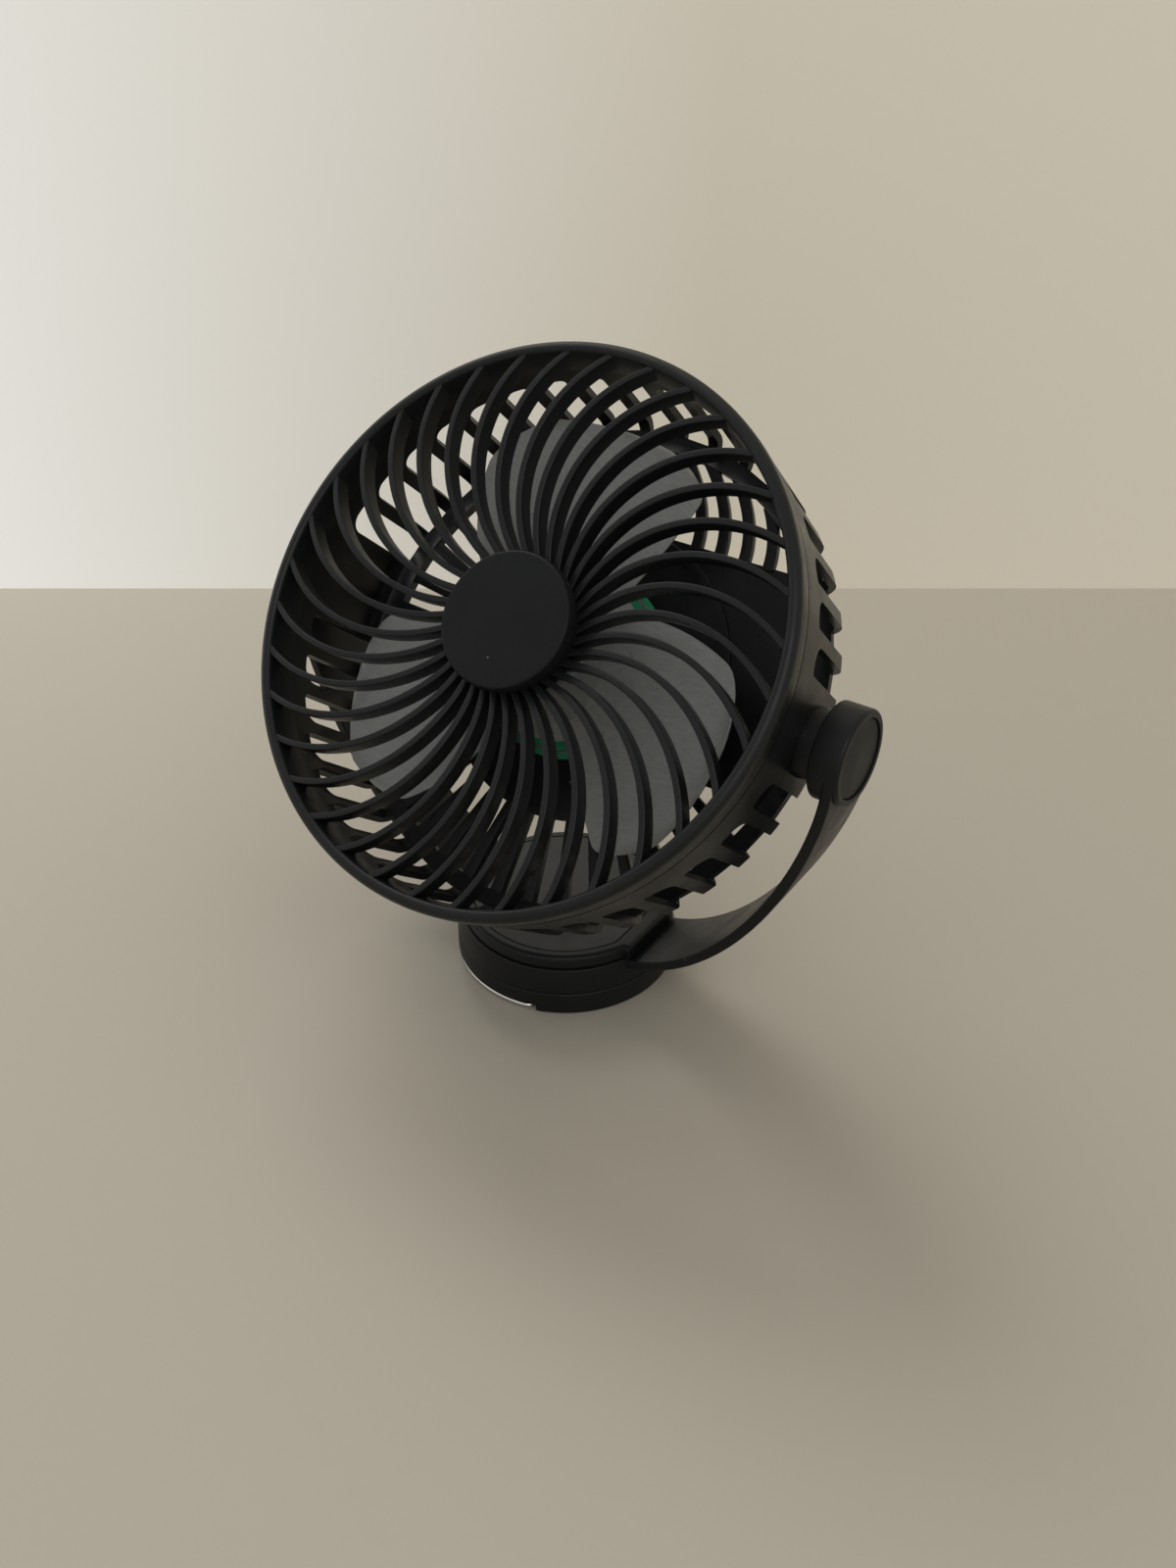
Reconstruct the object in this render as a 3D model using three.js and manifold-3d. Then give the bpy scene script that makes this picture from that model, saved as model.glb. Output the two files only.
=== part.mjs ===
// A small desk and camping fan: a round base with a folding wire hook, a yoke that turns on the base,
// a round head that tilts in the yoke, and a three-blade impeller that spins in the head.
// Millimetres. +Z is up and the fan faces -Y. The origin is the middle of the base, on the table.
import * as THREE from "three";
import { mergeVertices } from "three/addons/utils/BufferGeometryUtils.js";
import Module from "manifold-3d";

const wasm = await Module();
wasm.setup();

// ---- Driving dimensions ----
const GAP = 0.3; // clearance between pieces that touch or turn on each other
const DEG = Math.PI / 180;

// The two sizes that most others follow
const BASE_RADIUS = 35.5;
const HEAD_RADIUS = 82.6;

// Base
const BASE_SEAM_Z = 8.25; // the plane in which the yoke turns on the base
const EDGE = 0.5; // small edge break on the round parts
const FOOT_RADIUS = BASE_RADIUS - 6.8;
const FOOT_THICKNESS = 1.6;
const FOOT_PROUD = 0.3; // the pad stands this far below the base shell
const POST_RADIUS = 5; // the base's post, on which the yoke turns
const SWIVEL_SCREW_RADIUS = 2;
const SWIVEL_SCREW_BOTTOM_Z = 4.4;
const SCREW_HEAD_HEIGHT = 2;

// Hook
const HOOK_WIRE_RADIUS = 0.8;
const HOOK_Z = 1.6; // height of the folded wire's centre line
const HOOK_AXIS_ANGLE = -74 * DEG; // direction of the diameter on which the hook turns
const HOOK_BEND = 1.7; // size of the bend at each end of the wire
const HOOK_END_RADIUS = BASE_RADIUS - 5.1; // how far in the wire's ends reach

// Yoke
const RING_TOP_Z = 16.6;
const RING_TOP_RADIUS = BASE_RADIUS - 1.6;
const RING_WALL = 2.4;
const RING_FLOOR = 2;
const ARM_THICKNESS = 3.2;
const ARM_ROOT = { x: BASE_RADIUS - 2.5, z: 15 }; // where the strip's centre line leaves the ring
const ARM_ROOT_SLOPE = 16 * DEG;
const ARM_ROOT_PULL = 38; // reach of the curve's lower and upper control points
const ARM_TOP_PULL = 26.5;
const ARM_ROOT_HALF_WIDTH = 13;
const BOSS_RADIUS = 13.9;
const BOSS_DEPTH = 9.2;
const BOSS_CLEARANCE = 4.4; // between the head's side and the boss's inner face
const BOSS_ROUND = 1.6;
const CAP_RADIUS = 11.4;
const CAP_THICKNESS = 0.8;
const CAP_SUNK = 0.6; // the cap's face lies this far below the boss's rim

// Cover on the ring
const COVER_TOP_Z = 21.2;
const COVER_RADIUS = RING_TOP_RADIUS - 0.7;
const COVER_FLAT_X = COVER_RADIUS - 0.4; // the two flats above the arms
const COVER_FLAT_HALF = 12.7; // half the length of each flat
const COVER_ROUND = 1.6;
const COVER_WALL = 1.9;
const INLAY_RADIUS = COVER_RADIUS - 3.5;
const INLAY_FLAT_X = COVER_FLAT_X - 5.5;
const INLAY_THICKNESS = 0.9;

// Controls, on the back of the ring's wall
const CONTROL_Z = 13; // height of the button, the charging port and the lens
const BUTTON = { width: 8, height: 3.6, proud: 0.7, flange: 1.2, flangeExtra: 1.2, travel: 0.8 };
const PORT = { width: 9, height: 3.3, depth: 7.4, wall: 0.35, angle: 126 * DEG };
const LENS = { radius: 1.2, depth: 3.4, angle: 66 * DEG };
const BATTERY = { width: 44, depth: 28, height: 4.6, y: -6, round: 2 };
const BOARD = { width: 21, depth: 9, height: 1, y: RING_TOP_RADIUS - 12.5 };
const SWITCH = { width: 6, depth: 4.2, height: 3.2 };

// Head, along its own axis: 0 is the tilt axis and + is forwards
const HEAD_FREE = 4.9; // between the cover and the head in any tilt
const PIVOT_Z = COVER_TOP_Z + HEAD_FREE + HEAD_RADIUS; // height of the tilt axis above the table
const HEAD_ELEVATION = 42.2 * DEG; // how far up the head looks
const RIM_RADIUS = HEAD_RADIUS + 0.4; // the widest circle of the front ring
const RIM_FORWARD = 32.7;
const SEAM_FORWARD = 26.7; // the line between front grille and rear housing
const WALL = 2.2;
const LIP_DEPTH = 2.6; // the grille's skirt inside the rear housing
const FRONT_OPENING = HEAD_RADIUS - 4; // inner radius of the front ring
const HUB_RADIUS = 19.9;
const HUB_FORWARD = 38.3;
const HUB_CAP_DEPTH = 4.6;
const HUB_EDGE = 0.9;

// Front ribs: circular arcs that bend clockwise on the way out
const FRONT_RIBS = 36;
const FRONT_RIB_PHASE = 2.8 * DEG; // direction of one rib's outer end
const FRONT_RIB_ARC = 45.5; // radius of each rib's arc
const FRONT_RIB_CENTRE = 56.8; // distance of the arc's centre from the head's axis
const FRONT_RIB_THICKNESS = 1.9;
const FRONT_RIB_DEPTH = 6;
const RIB_HEIGHT = { hub: 31.4, crown: 36, crownRadius: 62, rim: 34.4 }; // front edge of the ribs

// Rear housing
const REAR_FACE = -18.3; // the flat back
const WALL_TAPER = 3 * DEG; // the side leans in by this much towards the back
const SHOULDER = 8; // radius of the rounded shoulder between side and back
const REAR_RIBS = 40;
const REAR_RIB_WIDTH = { centre: 2.4, ring: 4.2 };
const REAR_RIB_DEPTH = 3.6;
const REAR_RIB_INSET = 0.25; // the ribs lie this far inside the ring's two faces
const SIDE_SLOT = { width: 8.5, back: -14.4, front: 15.3, tightCorner: 1.2, wideCorner: 5 };
const REAR_RING = { inner: HEAD_RADIUS - 11.1, outer: HEAD_RADIUS - 6.1 };
const REAR_CENTRE_RADIUS = 46;
const REAR_CENTRE_THICKNESS = 2.5;
const PAD_HALF_ANGLE = 9 * DEG; // no slot is centred nearer than this to a trunnion
const REAR_PANEL = { low: -20, high: 46 }; // the back is closed between these, towards the right pivot

// Trunnions
const NECK_RADIUS = 10.3;
const PIN_RADIUS = 6;
const PIN_SEAT_DEPTH = 4; // depth of the boss's bore before its counterbore
const PIVOT_SCREW = { radius: 1.4, headRadius: 3.2, reach: 6 };
const WASHER = { radius: 8.6, thickness: 0.8 };

// Motor
const BOARD_DISC = { radius: 29, back: -8.6, thickness: 1.6 };
const TUBE_RADIUS = 3;
const TUBE_FRONT = 17;
const TUBE_BACK = -12.6;
const STATOR = { radius: 14.2, back: -3.4, front: 10, poles: 6, core: 6.2, neck: 2.4 };
const SHAFT_RADIUS = 1;
const SHAFT_BACK = -15.4;
const MAGNET = { inner: 15, outer: 17.4, back: -3, front: 12 };
const COLLAR = { radius: 2.6, back: -15, front: -13 };
const PLUG = { width: 8, depth: 4, height: 4.6, radius: 24.5, angle: 38 * DEG };

// Impeller
const IMPELLER_RADIUS = HEAD_RADIUS - 15.1;
const ROTOR_RADIUS = 20.5;
const ROTOR_FRONT = 24;
const ROTOR_BACK = -2;
const ROTOR_SKIN = 1.6;
const BLADES = 3;
const BLADE_THICKNESS = 1.5;
const BLADE_PHASE = 90 * DEG; // direction of the middle of one blade
const BLADE_LEAD = { hub: 42 * DEG, tip: 27 * DEG }; // edges of each blade, from its middle
const BLADE_TRAIL = { hub: -36 * DEG, tip: -30 * DEG };
const BLADE_HEIGHT = { middle: 11, hubRise: 9.5, tipRise: 6.5 }; // half the rise across a blade

// How finely curves are divided
const FINE = 40;
const MEDIUM = 20;
const SMALL = 12;

// ---- Solids ----
function toSolid(geometry) {
  const bare = geometry.clone();
  bare.deleteAttribute("normal");
  bare.deleteAttribute("uv");
  const merged = mergeVertices(bare, 1e-4);
  const triVerts = new Uint32Array(merged.index.array);
  return new wasm.Manifold(
    new wasm.Mesh({ numProp: 3, vertProperties: merged.attributes.position.array, triVerts }),
  );
}

function toGeometry(solid) {
  const mesh = solid.getMesh();
  const geometry = new THREE.BufferGeometry();
  geometry.setAttribute("position", new THREE.BufferAttribute(mesh.vertProperties, 3));
  geometry.setIndex(new THREE.BufferAttribute(mesh.triVerts, 1));
  geometry.computeVertexNormals();
  return geometry;
}

const join = (bodies) => toGeometry(bodies.map(toSolid).reduce((sum, next) => sum.add(next)));

const cut = (body, tools) =>
  toGeometry(tools.map(toSolid).reduce((left, tool) => left.subtract(tool), toSolid(body)));

const common = (a, b) => toGeometry(toSolid(a).intersect(toSolid(b)));

// ---- Shapes ----
// A body of revolution about Z. The profile runs anticlockwise as [radius, height] pairs.
function revolve(profile, segments = MEDIUM) {
  const points = profile.map(([radius, height]) => new THREE.Vector2(radius, height));
  return new THREE.LatheGeometry(points, segments).rotateX(90 * DEG);
}

function ring(inner, outer, bottom, top, segments = MEDIUM) {
  return revolve([[inner, bottom], [outer, bottom], [outer, top], [inner, top], [inner, bottom]], segments);
}

function disc(radius, bottom, top, segments = MEDIUM) {
  return revolve([[0, bottom], [radius, bottom], [radius, top], [0, top]], segments);
}

function box(x0, x1, y0, y1, z0, z1) {
  return new THREE.BoxGeometry(x1 - x0, y1 - y0, z1 - z0)
    .translate((x0 + x1) / 2, (y0 + y1) / 2, (z0 + z1) / 2);
}

// A rounded rectangle in the XY plane, raised along +Z.
function roundedPlate(width, depth, height, round) {
  const x = width / 2 - round;
  const y = depth / 2 - round;
  const shape = new THREE.Shape();
  shape.absarc(x, y, round, 0, 90 * DEG);
  shape.absarc(-x, y, round, 90 * DEG, 180 * DEG);
  shape.absarc(-x, -y, round, 180 * DEG, 270 * DEG);
  shape.absarc(x, -y, round, 270 * DEG, 360 * DEG);
  return new THREE.ExtrudeGeometry(shape, { depth: height, bevelEnabled: false, curveSegments: 3 });
}

// Turns a body made along +Z so that it lies along +X or +Y.
const alongX = (geometry) => geometry.rotateY(90 * DEG);
const alongY = (geometry) => geometry.rotateX(-90 * DEG);

// Quarter-circle points from one angle to another, about a centre.
function arc(centreR, centreZ, radius, from, to, steps) {
  return Array.from({ length: steps + 1 }, (_, i) => {
    const angle = from + ((to - from) * i) / steps;
    return [centreR + radius * Math.cos(angle), centreZ + radius * Math.sin(angle)];
  });
}

// A closed body through a row of sections. Every section is a loop of points, an even number of them,
// whose second half runs back beside the first.
function loft(sections) {
  const count = sections[0].length;
  const positions = sections.flat().flatMap((p) => [p.x, p.y, p.z]);
  const index = [];
  const quad = (a, b, c, d) => index.push(a, b, c, a, c, d);
  for (let s = 0; s < sections.length - 1; s++) {
    for (let i = 0; i < count; i++) {
      const next = (i + 1) % count;
      quad(s * count + i, s * count + next, (s + 1) * count + next, (s + 1) * count + i);
    }
  }
  const last = (sections.length - 1) * count;
  for (let i = 0; i < count / 2 - 1; i++) {
    const back = count - 1 - i;
    quad(i, back, back - 1, i + 1);
    quad(last + i, last + i + 1, last + back - 1, last + back);
  }
  const geometry = new THREE.BufferGeometry();
  geometry.setAttribute("position", new THREE.Float32BufferAttribute(positions, 3));
  geometry.setIndex(index);
  return geometry.toNonIndexed();
}

// A standing rib that follows angleAt(radius) in plan. Each of its sections has a back and a front end,
// as [radius, height] pairs.
function swirlRib(sections, thickness, angleAt) {
  const plan = (radius) => {
    const angle = angleAt(radius);
    return new THREE.Vector2(radius * Math.cos(angle), radius * Math.sin(angle));
  };
  const corner = (side, [radius, z]) => {
    const middle = plan(radius);
    const along = plan(radius + 0.1).sub(plan(radius - 0.1)).setLength(thickness / 2);
    return new THREE.Vector3(middle.x - side * along.y, middle.y + side * along.x, z);
  };
  return loft(sections.map(([back, front]) => [
    corner(-1, back),
    corner(1, back),
    corner(1, front),
    corner(-1, front),
  ]));
}

// Evenly spaced values from one number to another.
const spread = (from, to, steps) =>
  Array.from({ length: steps + 1 }, (_, i) => from + ((to - from) * i) / steps);

// ---- Base ----
const baseBottomZ = FOOT_PROUD;
const baseTopZ = BASE_SEAM_Z - GAP / 2;
const postTopZ = BASE_SEAM_Z + GAP / 2 + RING_FLOOR - 0.2;
const footTopZ = FOOT_THICKNESS;

function hookPath(radius) {
  const path = new THREE.Path();
  const at = (r, angle) => [r * Math.cos(angle), r * Math.sin(angle)];
  const first = HOOK_AXIS_ANGLE;
  const last = HOOK_AXIS_ANGLE - 180 * DEG;
  const bendAngle = HOOK_BEND / radius;
  path.moveTo(...at(HOOK_END_RADIUS, first));
  path.lineTo(...at(radius - HOOK_BEND, first));
  path.quadraticCurveTo(...at(radius, first), ...at(radius, first - bendAngle));
  path.absarc(0, 0, radius, first - bendAngle, last + bendAngle, true);
  path.quadraticCurveTo(...at(radius, last), ...at(radius - HOOK_BEND, last));
  path.lineTo(...at(HOOK_END_RADIUS, last));
  return path;
}

class LevelCurve extends THREE.Curve {
  constructor(path, height) {
    super();
    this.path = path;
    this.height = height;
  }
  getPoint(t, target = new THREE.Vector3()) {
    const point = this.path.getPointAt(t);
    return target.set(point.x, point.y, this.height);
  }
}

const hookRadius = BASE_RADIUS - HOOK_WIRE_RADIUS;

function hookWire() {
  const section = new THREE.Shape();
  section.absarc(0, 0, HOOK_WIRE_RADIUS, 0, 360 * DEG);
  const extrudePath = new LevelCurve(hookPath(hookRadius), HOOK_Z);
  return new THREE.ExtrudeGeometry(section, { extrudePath, steps: 30, curveSegments: 3 });
}

// Half a ring, on the folded hook's side, that clears the wire.
function hookRebate() {
  const inner = hookRadius - HOOK_WIRE_RADIUS - GAP;
  const outer = BASE_RADIUS + 1;
  const spare = (HOOK_WIRE_RADIUS + GAP) / hookRadius;
  const start = HOOK_AXIS_ANGLE + 180 * DEG - spare;
  const end = HOOK_AXIS_ANGLE + 360 * DEG + spare;
  const shape = new THREE.Shape();
  shape.absarc(0, 0, outer, start, end);
  shape.absarc(0, 0, inner, end, start, true);
  const top = HOOK_Z + HOOK_WIRE_RADIUS + GAP;
  const options = { depth: top + 1, bevelEnabled: false, curveSegments: FINE / 2 };
  return new THREE.ExtrudeGeometry(shape, options).translate(0, 0, -1);
}

// The holes for the wire's two ends, wider at the mouth so that the bend can turn.
function hookBore() {
  const mouth = hookRadius - HOOK_BEND - HOOK_WIRE_RADIUS;
  const reach = BASE_RADIUS + 1;
  const along = (body) => alongX(body).rotateZ(HOOK_AXIS_ANGLE).translate(0, 0, HOOK_Z);
  const side = (turn) => [
    along(disc(HOOK_WIRE_RADIUS + GAP, HOOK_END_RADIUS - GAP, reach, SMALL)).rotateZ(turn),
    along(disc(HOOK_BEND + GAP, mouth, reach, SMALL)).rotateZ(turn),
  ];
  return [...side(0), ...side(180 * DEG)];
}

function baseShell() {
  const boreRadius = SWIVEL_SCREW_RADIUS + GAP;
  const recessZ = footTopZ + GAP;
  const body = revolve([
    [0, baseBottomZ],
    [BASE_RADIUS - EDGE, baseBottomZ],
    [BASE_RADIUS, baseBottomZ + EDGE],
    [BASE_RADIUS, baseTopZ - EDGE],
    [BASE_RADIUS - EDGE, baseTopZ],
    [POST_RADIUS, baseTopZ],
    [POST_RADIUS, postTopZ],
    [boreRadius, postTopZ],
    [boreRadius, SWIVEL_SCREW_BOTTOM_Z - GAP],
    [0, SWIVEL_SCREW_BOTTOM_Z - GAP],
  ], FINE);
  const recess = disc(FOOT_RADIUS + GAP, -1, recessZ);
  return cut(body, [recess, hookRebate(), ...hookBore()]);
}

const footPad = () => disc(FOOT_RADIUS, 0, footTopZ);

// ---- Yoke ----
const ringBottomZ = BASE_SEAM_Z + GAP / 2;
const ringFloorZ = ringBottomZ + RING_FLOOR;
const ringInnerRadius = RING_TOP_RADIUS - RING_WALL;
const bossInnerX = HEAD_RADIUS + BOSS_CLEARANCE;
const bossOuterX = bossInnerX + BOSS_DEPTH;
const armTopX = bossOuterX - 2.8;
const pinSeatX = bossInnerX + PIN_SEAT_DEPTH;
const capRecessX = bossOuterX - CAP_SUNK - CAP_THICKNESS - GAP;

// Radius of the ring's sloping outer wall at a height.
function ringOuterRadius(z) {
  const up = (z - ringBottomZ) / (RING_TOP_Z - ringBottomZ);
  return BASE_RADIUS + (RING_TOP_RADIUS - BASE_RADIUS) * up;
}

function ringBody() {
  return revolve([
    [POST_RADIUS + GAP, ringBottomZ],
    [BASE_RADIUS - EDGE, ringBottomZ],
    [ringOuterRadius(ringBottomZ + EDGE), ringBottomZ + EDGE],
    [ringOuterRadius(RING_TOP_Z - EDGE), RING_TOP_Z - EDGE],
    [RING_TOP_RADIUS - EDGE, RING_TOP_Z],
    [ringInnerRadius, RING_TOP_Z],
    [ringInnerRadius, ringFloorZ],
    [POST_RADIUS + GAP, ringFloorZ],
    [POST_RADIUS + GAP, ringBottomZ],
  ], FINE);
}

// The right arm: a bent strip, cut to its outline as seen from the side, and the boss at its top.
function armStrip() {
  const root = new THREE.Vector2(ARM_ROOT.x, ARM_ROOT.z);
  const slope = new THREE.Vector2(Math.cos(ARM_ROOT_SLOPE), Math.sin(ARM_ROOT_SLOPE));
  const start = root.clone().addScaledVector(slope, -3);
  const curve = new THREE.CubicBezierCurve(
    root,
    root.clone().addScaledVector(slope, ARM_ROOT_PULL),
    new THREE.Vector2(armTopX, PIVOT_Z - ARM_TOP_PULL),
    new THREE.Vector2(armTopX, PIVOT_Z),
  );
  const steps = 10;
  const middle = [start, ...curve.getSpacedPoints(steps)];
  const tangents = [slope, ...middle.slice(1).map((_, i) => curve.getTangentAt(i / steps))];
  const offset = (side) =>
    middle.map((point, i) => {
      const normal = new THREE.Vector2(-tangents[i].y, tangents[i].x);
      return point.clone().addScaledVector(normal, (side * ARM_THICKNESS) / 2);
    });
  const shape = new THREE.Shape([...offset(-1), ...offset(1).reverse()]);
  const width = 2 * BOSS_RADIUS;
  return new THREE.ExtrudeGeometry(shape, { depth: width, bevelEnabled: false })
    .rotateX(90 * DEG)
    .translate(0, width / 2, 0);
}

function armOutline() {
  const shape = new THREE.Shape();
  const taperZ = RING_TOP_Z + 20;
  shape.moveTo(-ARM_ROOT_HALF_WIDTH, 0);
  shape.lineTo(ARM_ROOT_HALF_WIDTH, 0);
  shape.lineTo(ARM_ROOT_HALF_WIDTH, taperZ);
  shape.bezierCurveTo(
    ARM_ROOT_HALF_WIDTH, (taperZ + PIVOT_Z) / 2,
    BOSS_RADIUS, PIVOT_Z - BOSS_RADIUS,
    BOSS_RADIUS, PIVOT_Z,
  );
  shape.absarc(0, PIVOT_Z, BOSS_RADIUS, 0, 180 * DEG);
  shape.bezierCurveTo(
    -BOSS_RADIUS, PIVOT_Z - BOSS_RADIUS,
    -ARM_ROOT_HALF_WIDTH, (taperZ + PIVOT_Z) / 2,
    -ARM_ROOT_HALF_WIDTH, taperZ,
  );
  return new THREE.ExtrudeGeometry(shape, { depth: 1.2 * bossOuterX, bevelEnabled: false, curveSegments: 4 })
    .rotateX(90 * DEG)
    .rotateZ(90 * DEG);
}

function boss() {
  const half = BOSS_DEPTH / 2;
  const corner = (angle) => arc(BOSS_RADIUS - BOSS_ROUND, half - BOSS_ROUND, BOSS_ROUND, 0, angle, 3);
  return alongX(revolve([
    [0, -half],
    [BOSS_RADIUS - EDGE, -half],
    [BOSS_RADIUS, -half + EDGE],
    ...corner(90 * DEG),
    [0, half],
  ])).translate(bossInnerX + half, 0, PIVOT_Z);
}

function bossBores() {
  const hole = (radius, from, to) => alongX(disc(radius, from, to)).translate(0, 0, PIVOT_Z);
  return [
    hole(PIN_RADIUS + GAP, bossInnerX - 1, pinSeatX + 0.5),
    hole(WASHER.radius + GAP, pinSeatX, capRecessX + 0.5),
    hole(CAP_RADIUS + GAP, capRecessX, bossOuterX + 1),
  ];
}

function rightArm() {
  return cut(join([common(armStrip(), armOutline()), boss()]), bossBores());
}

// Cuts through the ring's back wall for the button, the charging port and the light.
function radialCut(geometry, angle) {
  return alongY(geometry)
    .translate(0, ringInnerRadius - 2, CONTROL_Z)
    .rotateZ(angle - 90 * DEG);
}

function yokeMoulding() {
  const arms = [rightArm(), rightArm().rotateZ(180 * DEG)];
  const depth = RING_WALL + 6;
  const buttonHole = roundedPlate(BUTTON.width + 2 * GAP, BUTTON.height + 2 * GAP, depth, 1.5);
  const portHole = roundedPlate(PORT.width + 2 * GAP, PORT.height + 2 * GAP, depth, PORT.height / 2);
  const lensHole = disc(LENS.radius + GAP, 0, depth, 16);
  return cut(join([ringBody(), ...arms]), [
    radialCut(buttonHole, 90 * DEG),
    radialCut(portHole, PORT.angle),
    radialCut(lensHole, LENS.angle),
  ]);
}

const coverBottomZ = RING_TOP_Z + GAP;
const coverCavityZ = COVER_TOP_Z - COVER_WALL;

function flattened(body, halfWidth) {
  const reach = 2 * BASE_RADIUS;
  return common(body, box(-halfWidth, halfWidth, -reach, reach, 0, reach));
}

// The part of the cover that stands on the arms' roots.
function coverWings() {
  const shape = new THREE.Shape();
  const x = COVER_FLAT_X - COVER_ROUND;
  const z = COVER_TOP_Z - COVER_ROUND;
  shape.moveTo(-COVER_FLAT_X, coverBottomZ);
  shape.lineTo(COVER_FLAT_X, coverBottomZ);
  shape.absarc(x, z, COVER_ROUND, 0, 90 * DEG);
  shape.absarc(-x, z, COVER_ROUND, 90 * DEG, 180 * DEG);
  const options = { depth: 2 * COVER_FLAT_HALF, bevelEnabled: false, curveSegments: 3 };
  return new THREE.ExtrudeGeometry(shape, options).rotateX(90 * DEG).translate(0, COVER_FLAT_HALF, 0);
}

function ringCover() {
  const round = revolve([
    [0, coverBottomZ],
    [COVER_RADIUS, coverBottomZ],
    ...arc(COVER_RADIUS - COVER_ROUND, COVER_TOP_Z - COVER_ROUND, COVER_ROUND, 0, 90 * DEG, 3),
    [0, COVER_TOP_Z],
  ], FINE);
  const cavity = disc(ringInnerRadius - 1, coverBottomZ - 1, coverCavityZ);
  const recessZ = COVER_TOP_Z - INLAY_THICKNESS;
  const recess = flattened(disc(INLAY_RADIUS + GAP, recessZ, COVER_TOP_Z + 1, FINE), INLAY_FLAT_X + GAP);
  const outer = join([flattened(round, COVER_FLAT_X), coverWings()]);
  return cut(outer, [flattened(cavity, COVER_FLAT_X - COVER_WALL), recess]);
}

function coverInlay() {
  const bottom = COVER_TOP_Z - INLAY_THICKNESS + GAP / 2;
  return flattened(disc(INLAY_RADIUS, bottom, COVER_TOP_Z, FINE), INLAY_FLAT_X);
}

const bossCap = () =>
  alongX(disc(CAP_RADIUS, 0, CAP_THICKNESS)).translate(capRecessX + GAP, 0, PIVOT_Z);

// ---- Swivel ----
const swivelWasherZ = ringFloorZ + GAP;
const swivelHeadZ = swivelWasherZ + WASHER.thickness + GAP;

const swivelWasher = () =>
  ring(SWIVEL_SCREW_RADIUS + GAP, WASHER.radius, swivelWasherZ, swivelWasherZ + WASHER.thickness);

// A pan-head screw along +Z: its head starts at 0 and its shank runs down. The drive is a cross.
function panScrew(shankRadius, headRadius, shankLength) {
  const body = revolve([
    [0, -shankLength],
    [shankRadius, -shankLength],
    [shankRadius, 0],
    [headRadius, 0],
    [headRadius, SCREW_HEAD_HEIGHT * 0.55],
    [headRadius * 0.62, SCREW_HEAD_HEIGHT],
    [0, SCREW_HEAD_HEIGHT],
  ], SMALL);
  const long = headRadius * 0.55;
  const thin = headRadius * 0.14;
  const floor = SCREW_HEAD_HEIGHT * 0.5;
  const top = SCREW_HEAD_HEIGHT + 1;
  const drive = [box(-long, long, -thin, thin, floor, top), box(-thin, thin, -long, long, floor, top)];
  return cut(body, drive);
}

const swivelScrew = () =>
  panScrew(SWIVEL_SCREW_RADIUS, 4, swivelHeadZ - SWIVEL_SCREW_BOTTOM_Z).translate(0, 0, swivelHeadZ);

// ---- Controls ----
const buttonFaceY = ringOuterRadius(CONTROL_Z) + BUTTON.proud;
const buttonFlangeY = ringInnerRadius - 0.9; // the flange stops behind the curved wall

function powerButton() {
  const length = buttonFaceY - (buttonFlangeY - BUTTON.flange);
  const stem = roundedPlate(BUTTON.width, BUTTON.height, length, 1.2);
  const flange = roundedPlate(BUTTON.width + 2 * BUTTON.flangeExtra, BUTTON.height, BUTTON.flange, 1);
  return alongY(join([stem, flange])).translate(0, buttonFlangeY - BUTTON.flange, CONTROL_Z);
}

const switchFrontY = buttonFlangeY - BUTTON.flange - BUTTON.travel - GAP;
const boardTopZ = ringFloorZ + GAP + BOARD.height;

const controlBoard = () =>
  roundedPlate(BOARD.width, BOARD.depth, BOARD.height, 1).translate(0, BOARD.y, ringFloorZ + GAP);

function tactSwitch() {
  const backY = switchFrontY - SWITCH.depth;
  const bottom = boardTopZ + GAP;
  const body = box(-SWITCH.width / 2, SWITCH.width / 2, backY, switchFrontY - 1, bottom, bottom + SWITCH.height);
  const plunger = alongY(disc(1.2, 0, 2, 16)).translate(0, switchFrontY - 2, CONTROL_Z);
  return join([body, plunger]);
}

function chargingPort() {
  const round = PORT.height / 2;
  const inner = PORT.height / 2 - PORT.wall;
  const shell = roundedPlate(PORT.width, PORT.height, PORT.depth, round);
  const mouth = roundedPlate(PORT.width - 2 * PORT.wall, PORT.height - 2 * PORT.wall, PORT.depth, inner);
  const tongue = box(-3.2, 3.2, -0.35, 0.35, 0.5, PORT.depth - 1);
  const body = join([cut(shell, [mouth.translate(0, 0, 1)]), tongue]);
  const start = ringOuterRadius(CONTROL_Z) - 0.4 - PORT.depth;
  return alongY(body).translate(0, start, CONTROL_Z).rotateZ(PORT.angle - 90 * DEG);
}

function chargeLens() {
  const start = ringOuterRadius(CONTROL_Z) - LENS.depth;
  const body = revolve([[0, 0], [LENS.radius, 0], [LENS.radius, LENS.depth - 0.3], [0, LENS.depth]], 16);
  return alongY(body).translate(0, start, CONTROL_Z).rotateZ(LENS.angle - 90 * DEG);
}

const batteryPack = () =>
  roundedPlate(BATTERY.width, BATTERY.depth, BATTERY.height, BATTERY.round)
    .translate(0, BATTERY.y, coverCavityZ - GAP - BATTERY.height);

// ---- Head: front grille ----
const grilleBack = SEAM_FORWARD + GAP / 2;
const housingFront = SEAM_FORWARD - GAP / 2;
const mouthRadius = HEAD_RADIUS - WALL; // inner radius of the rear housing's band

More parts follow.
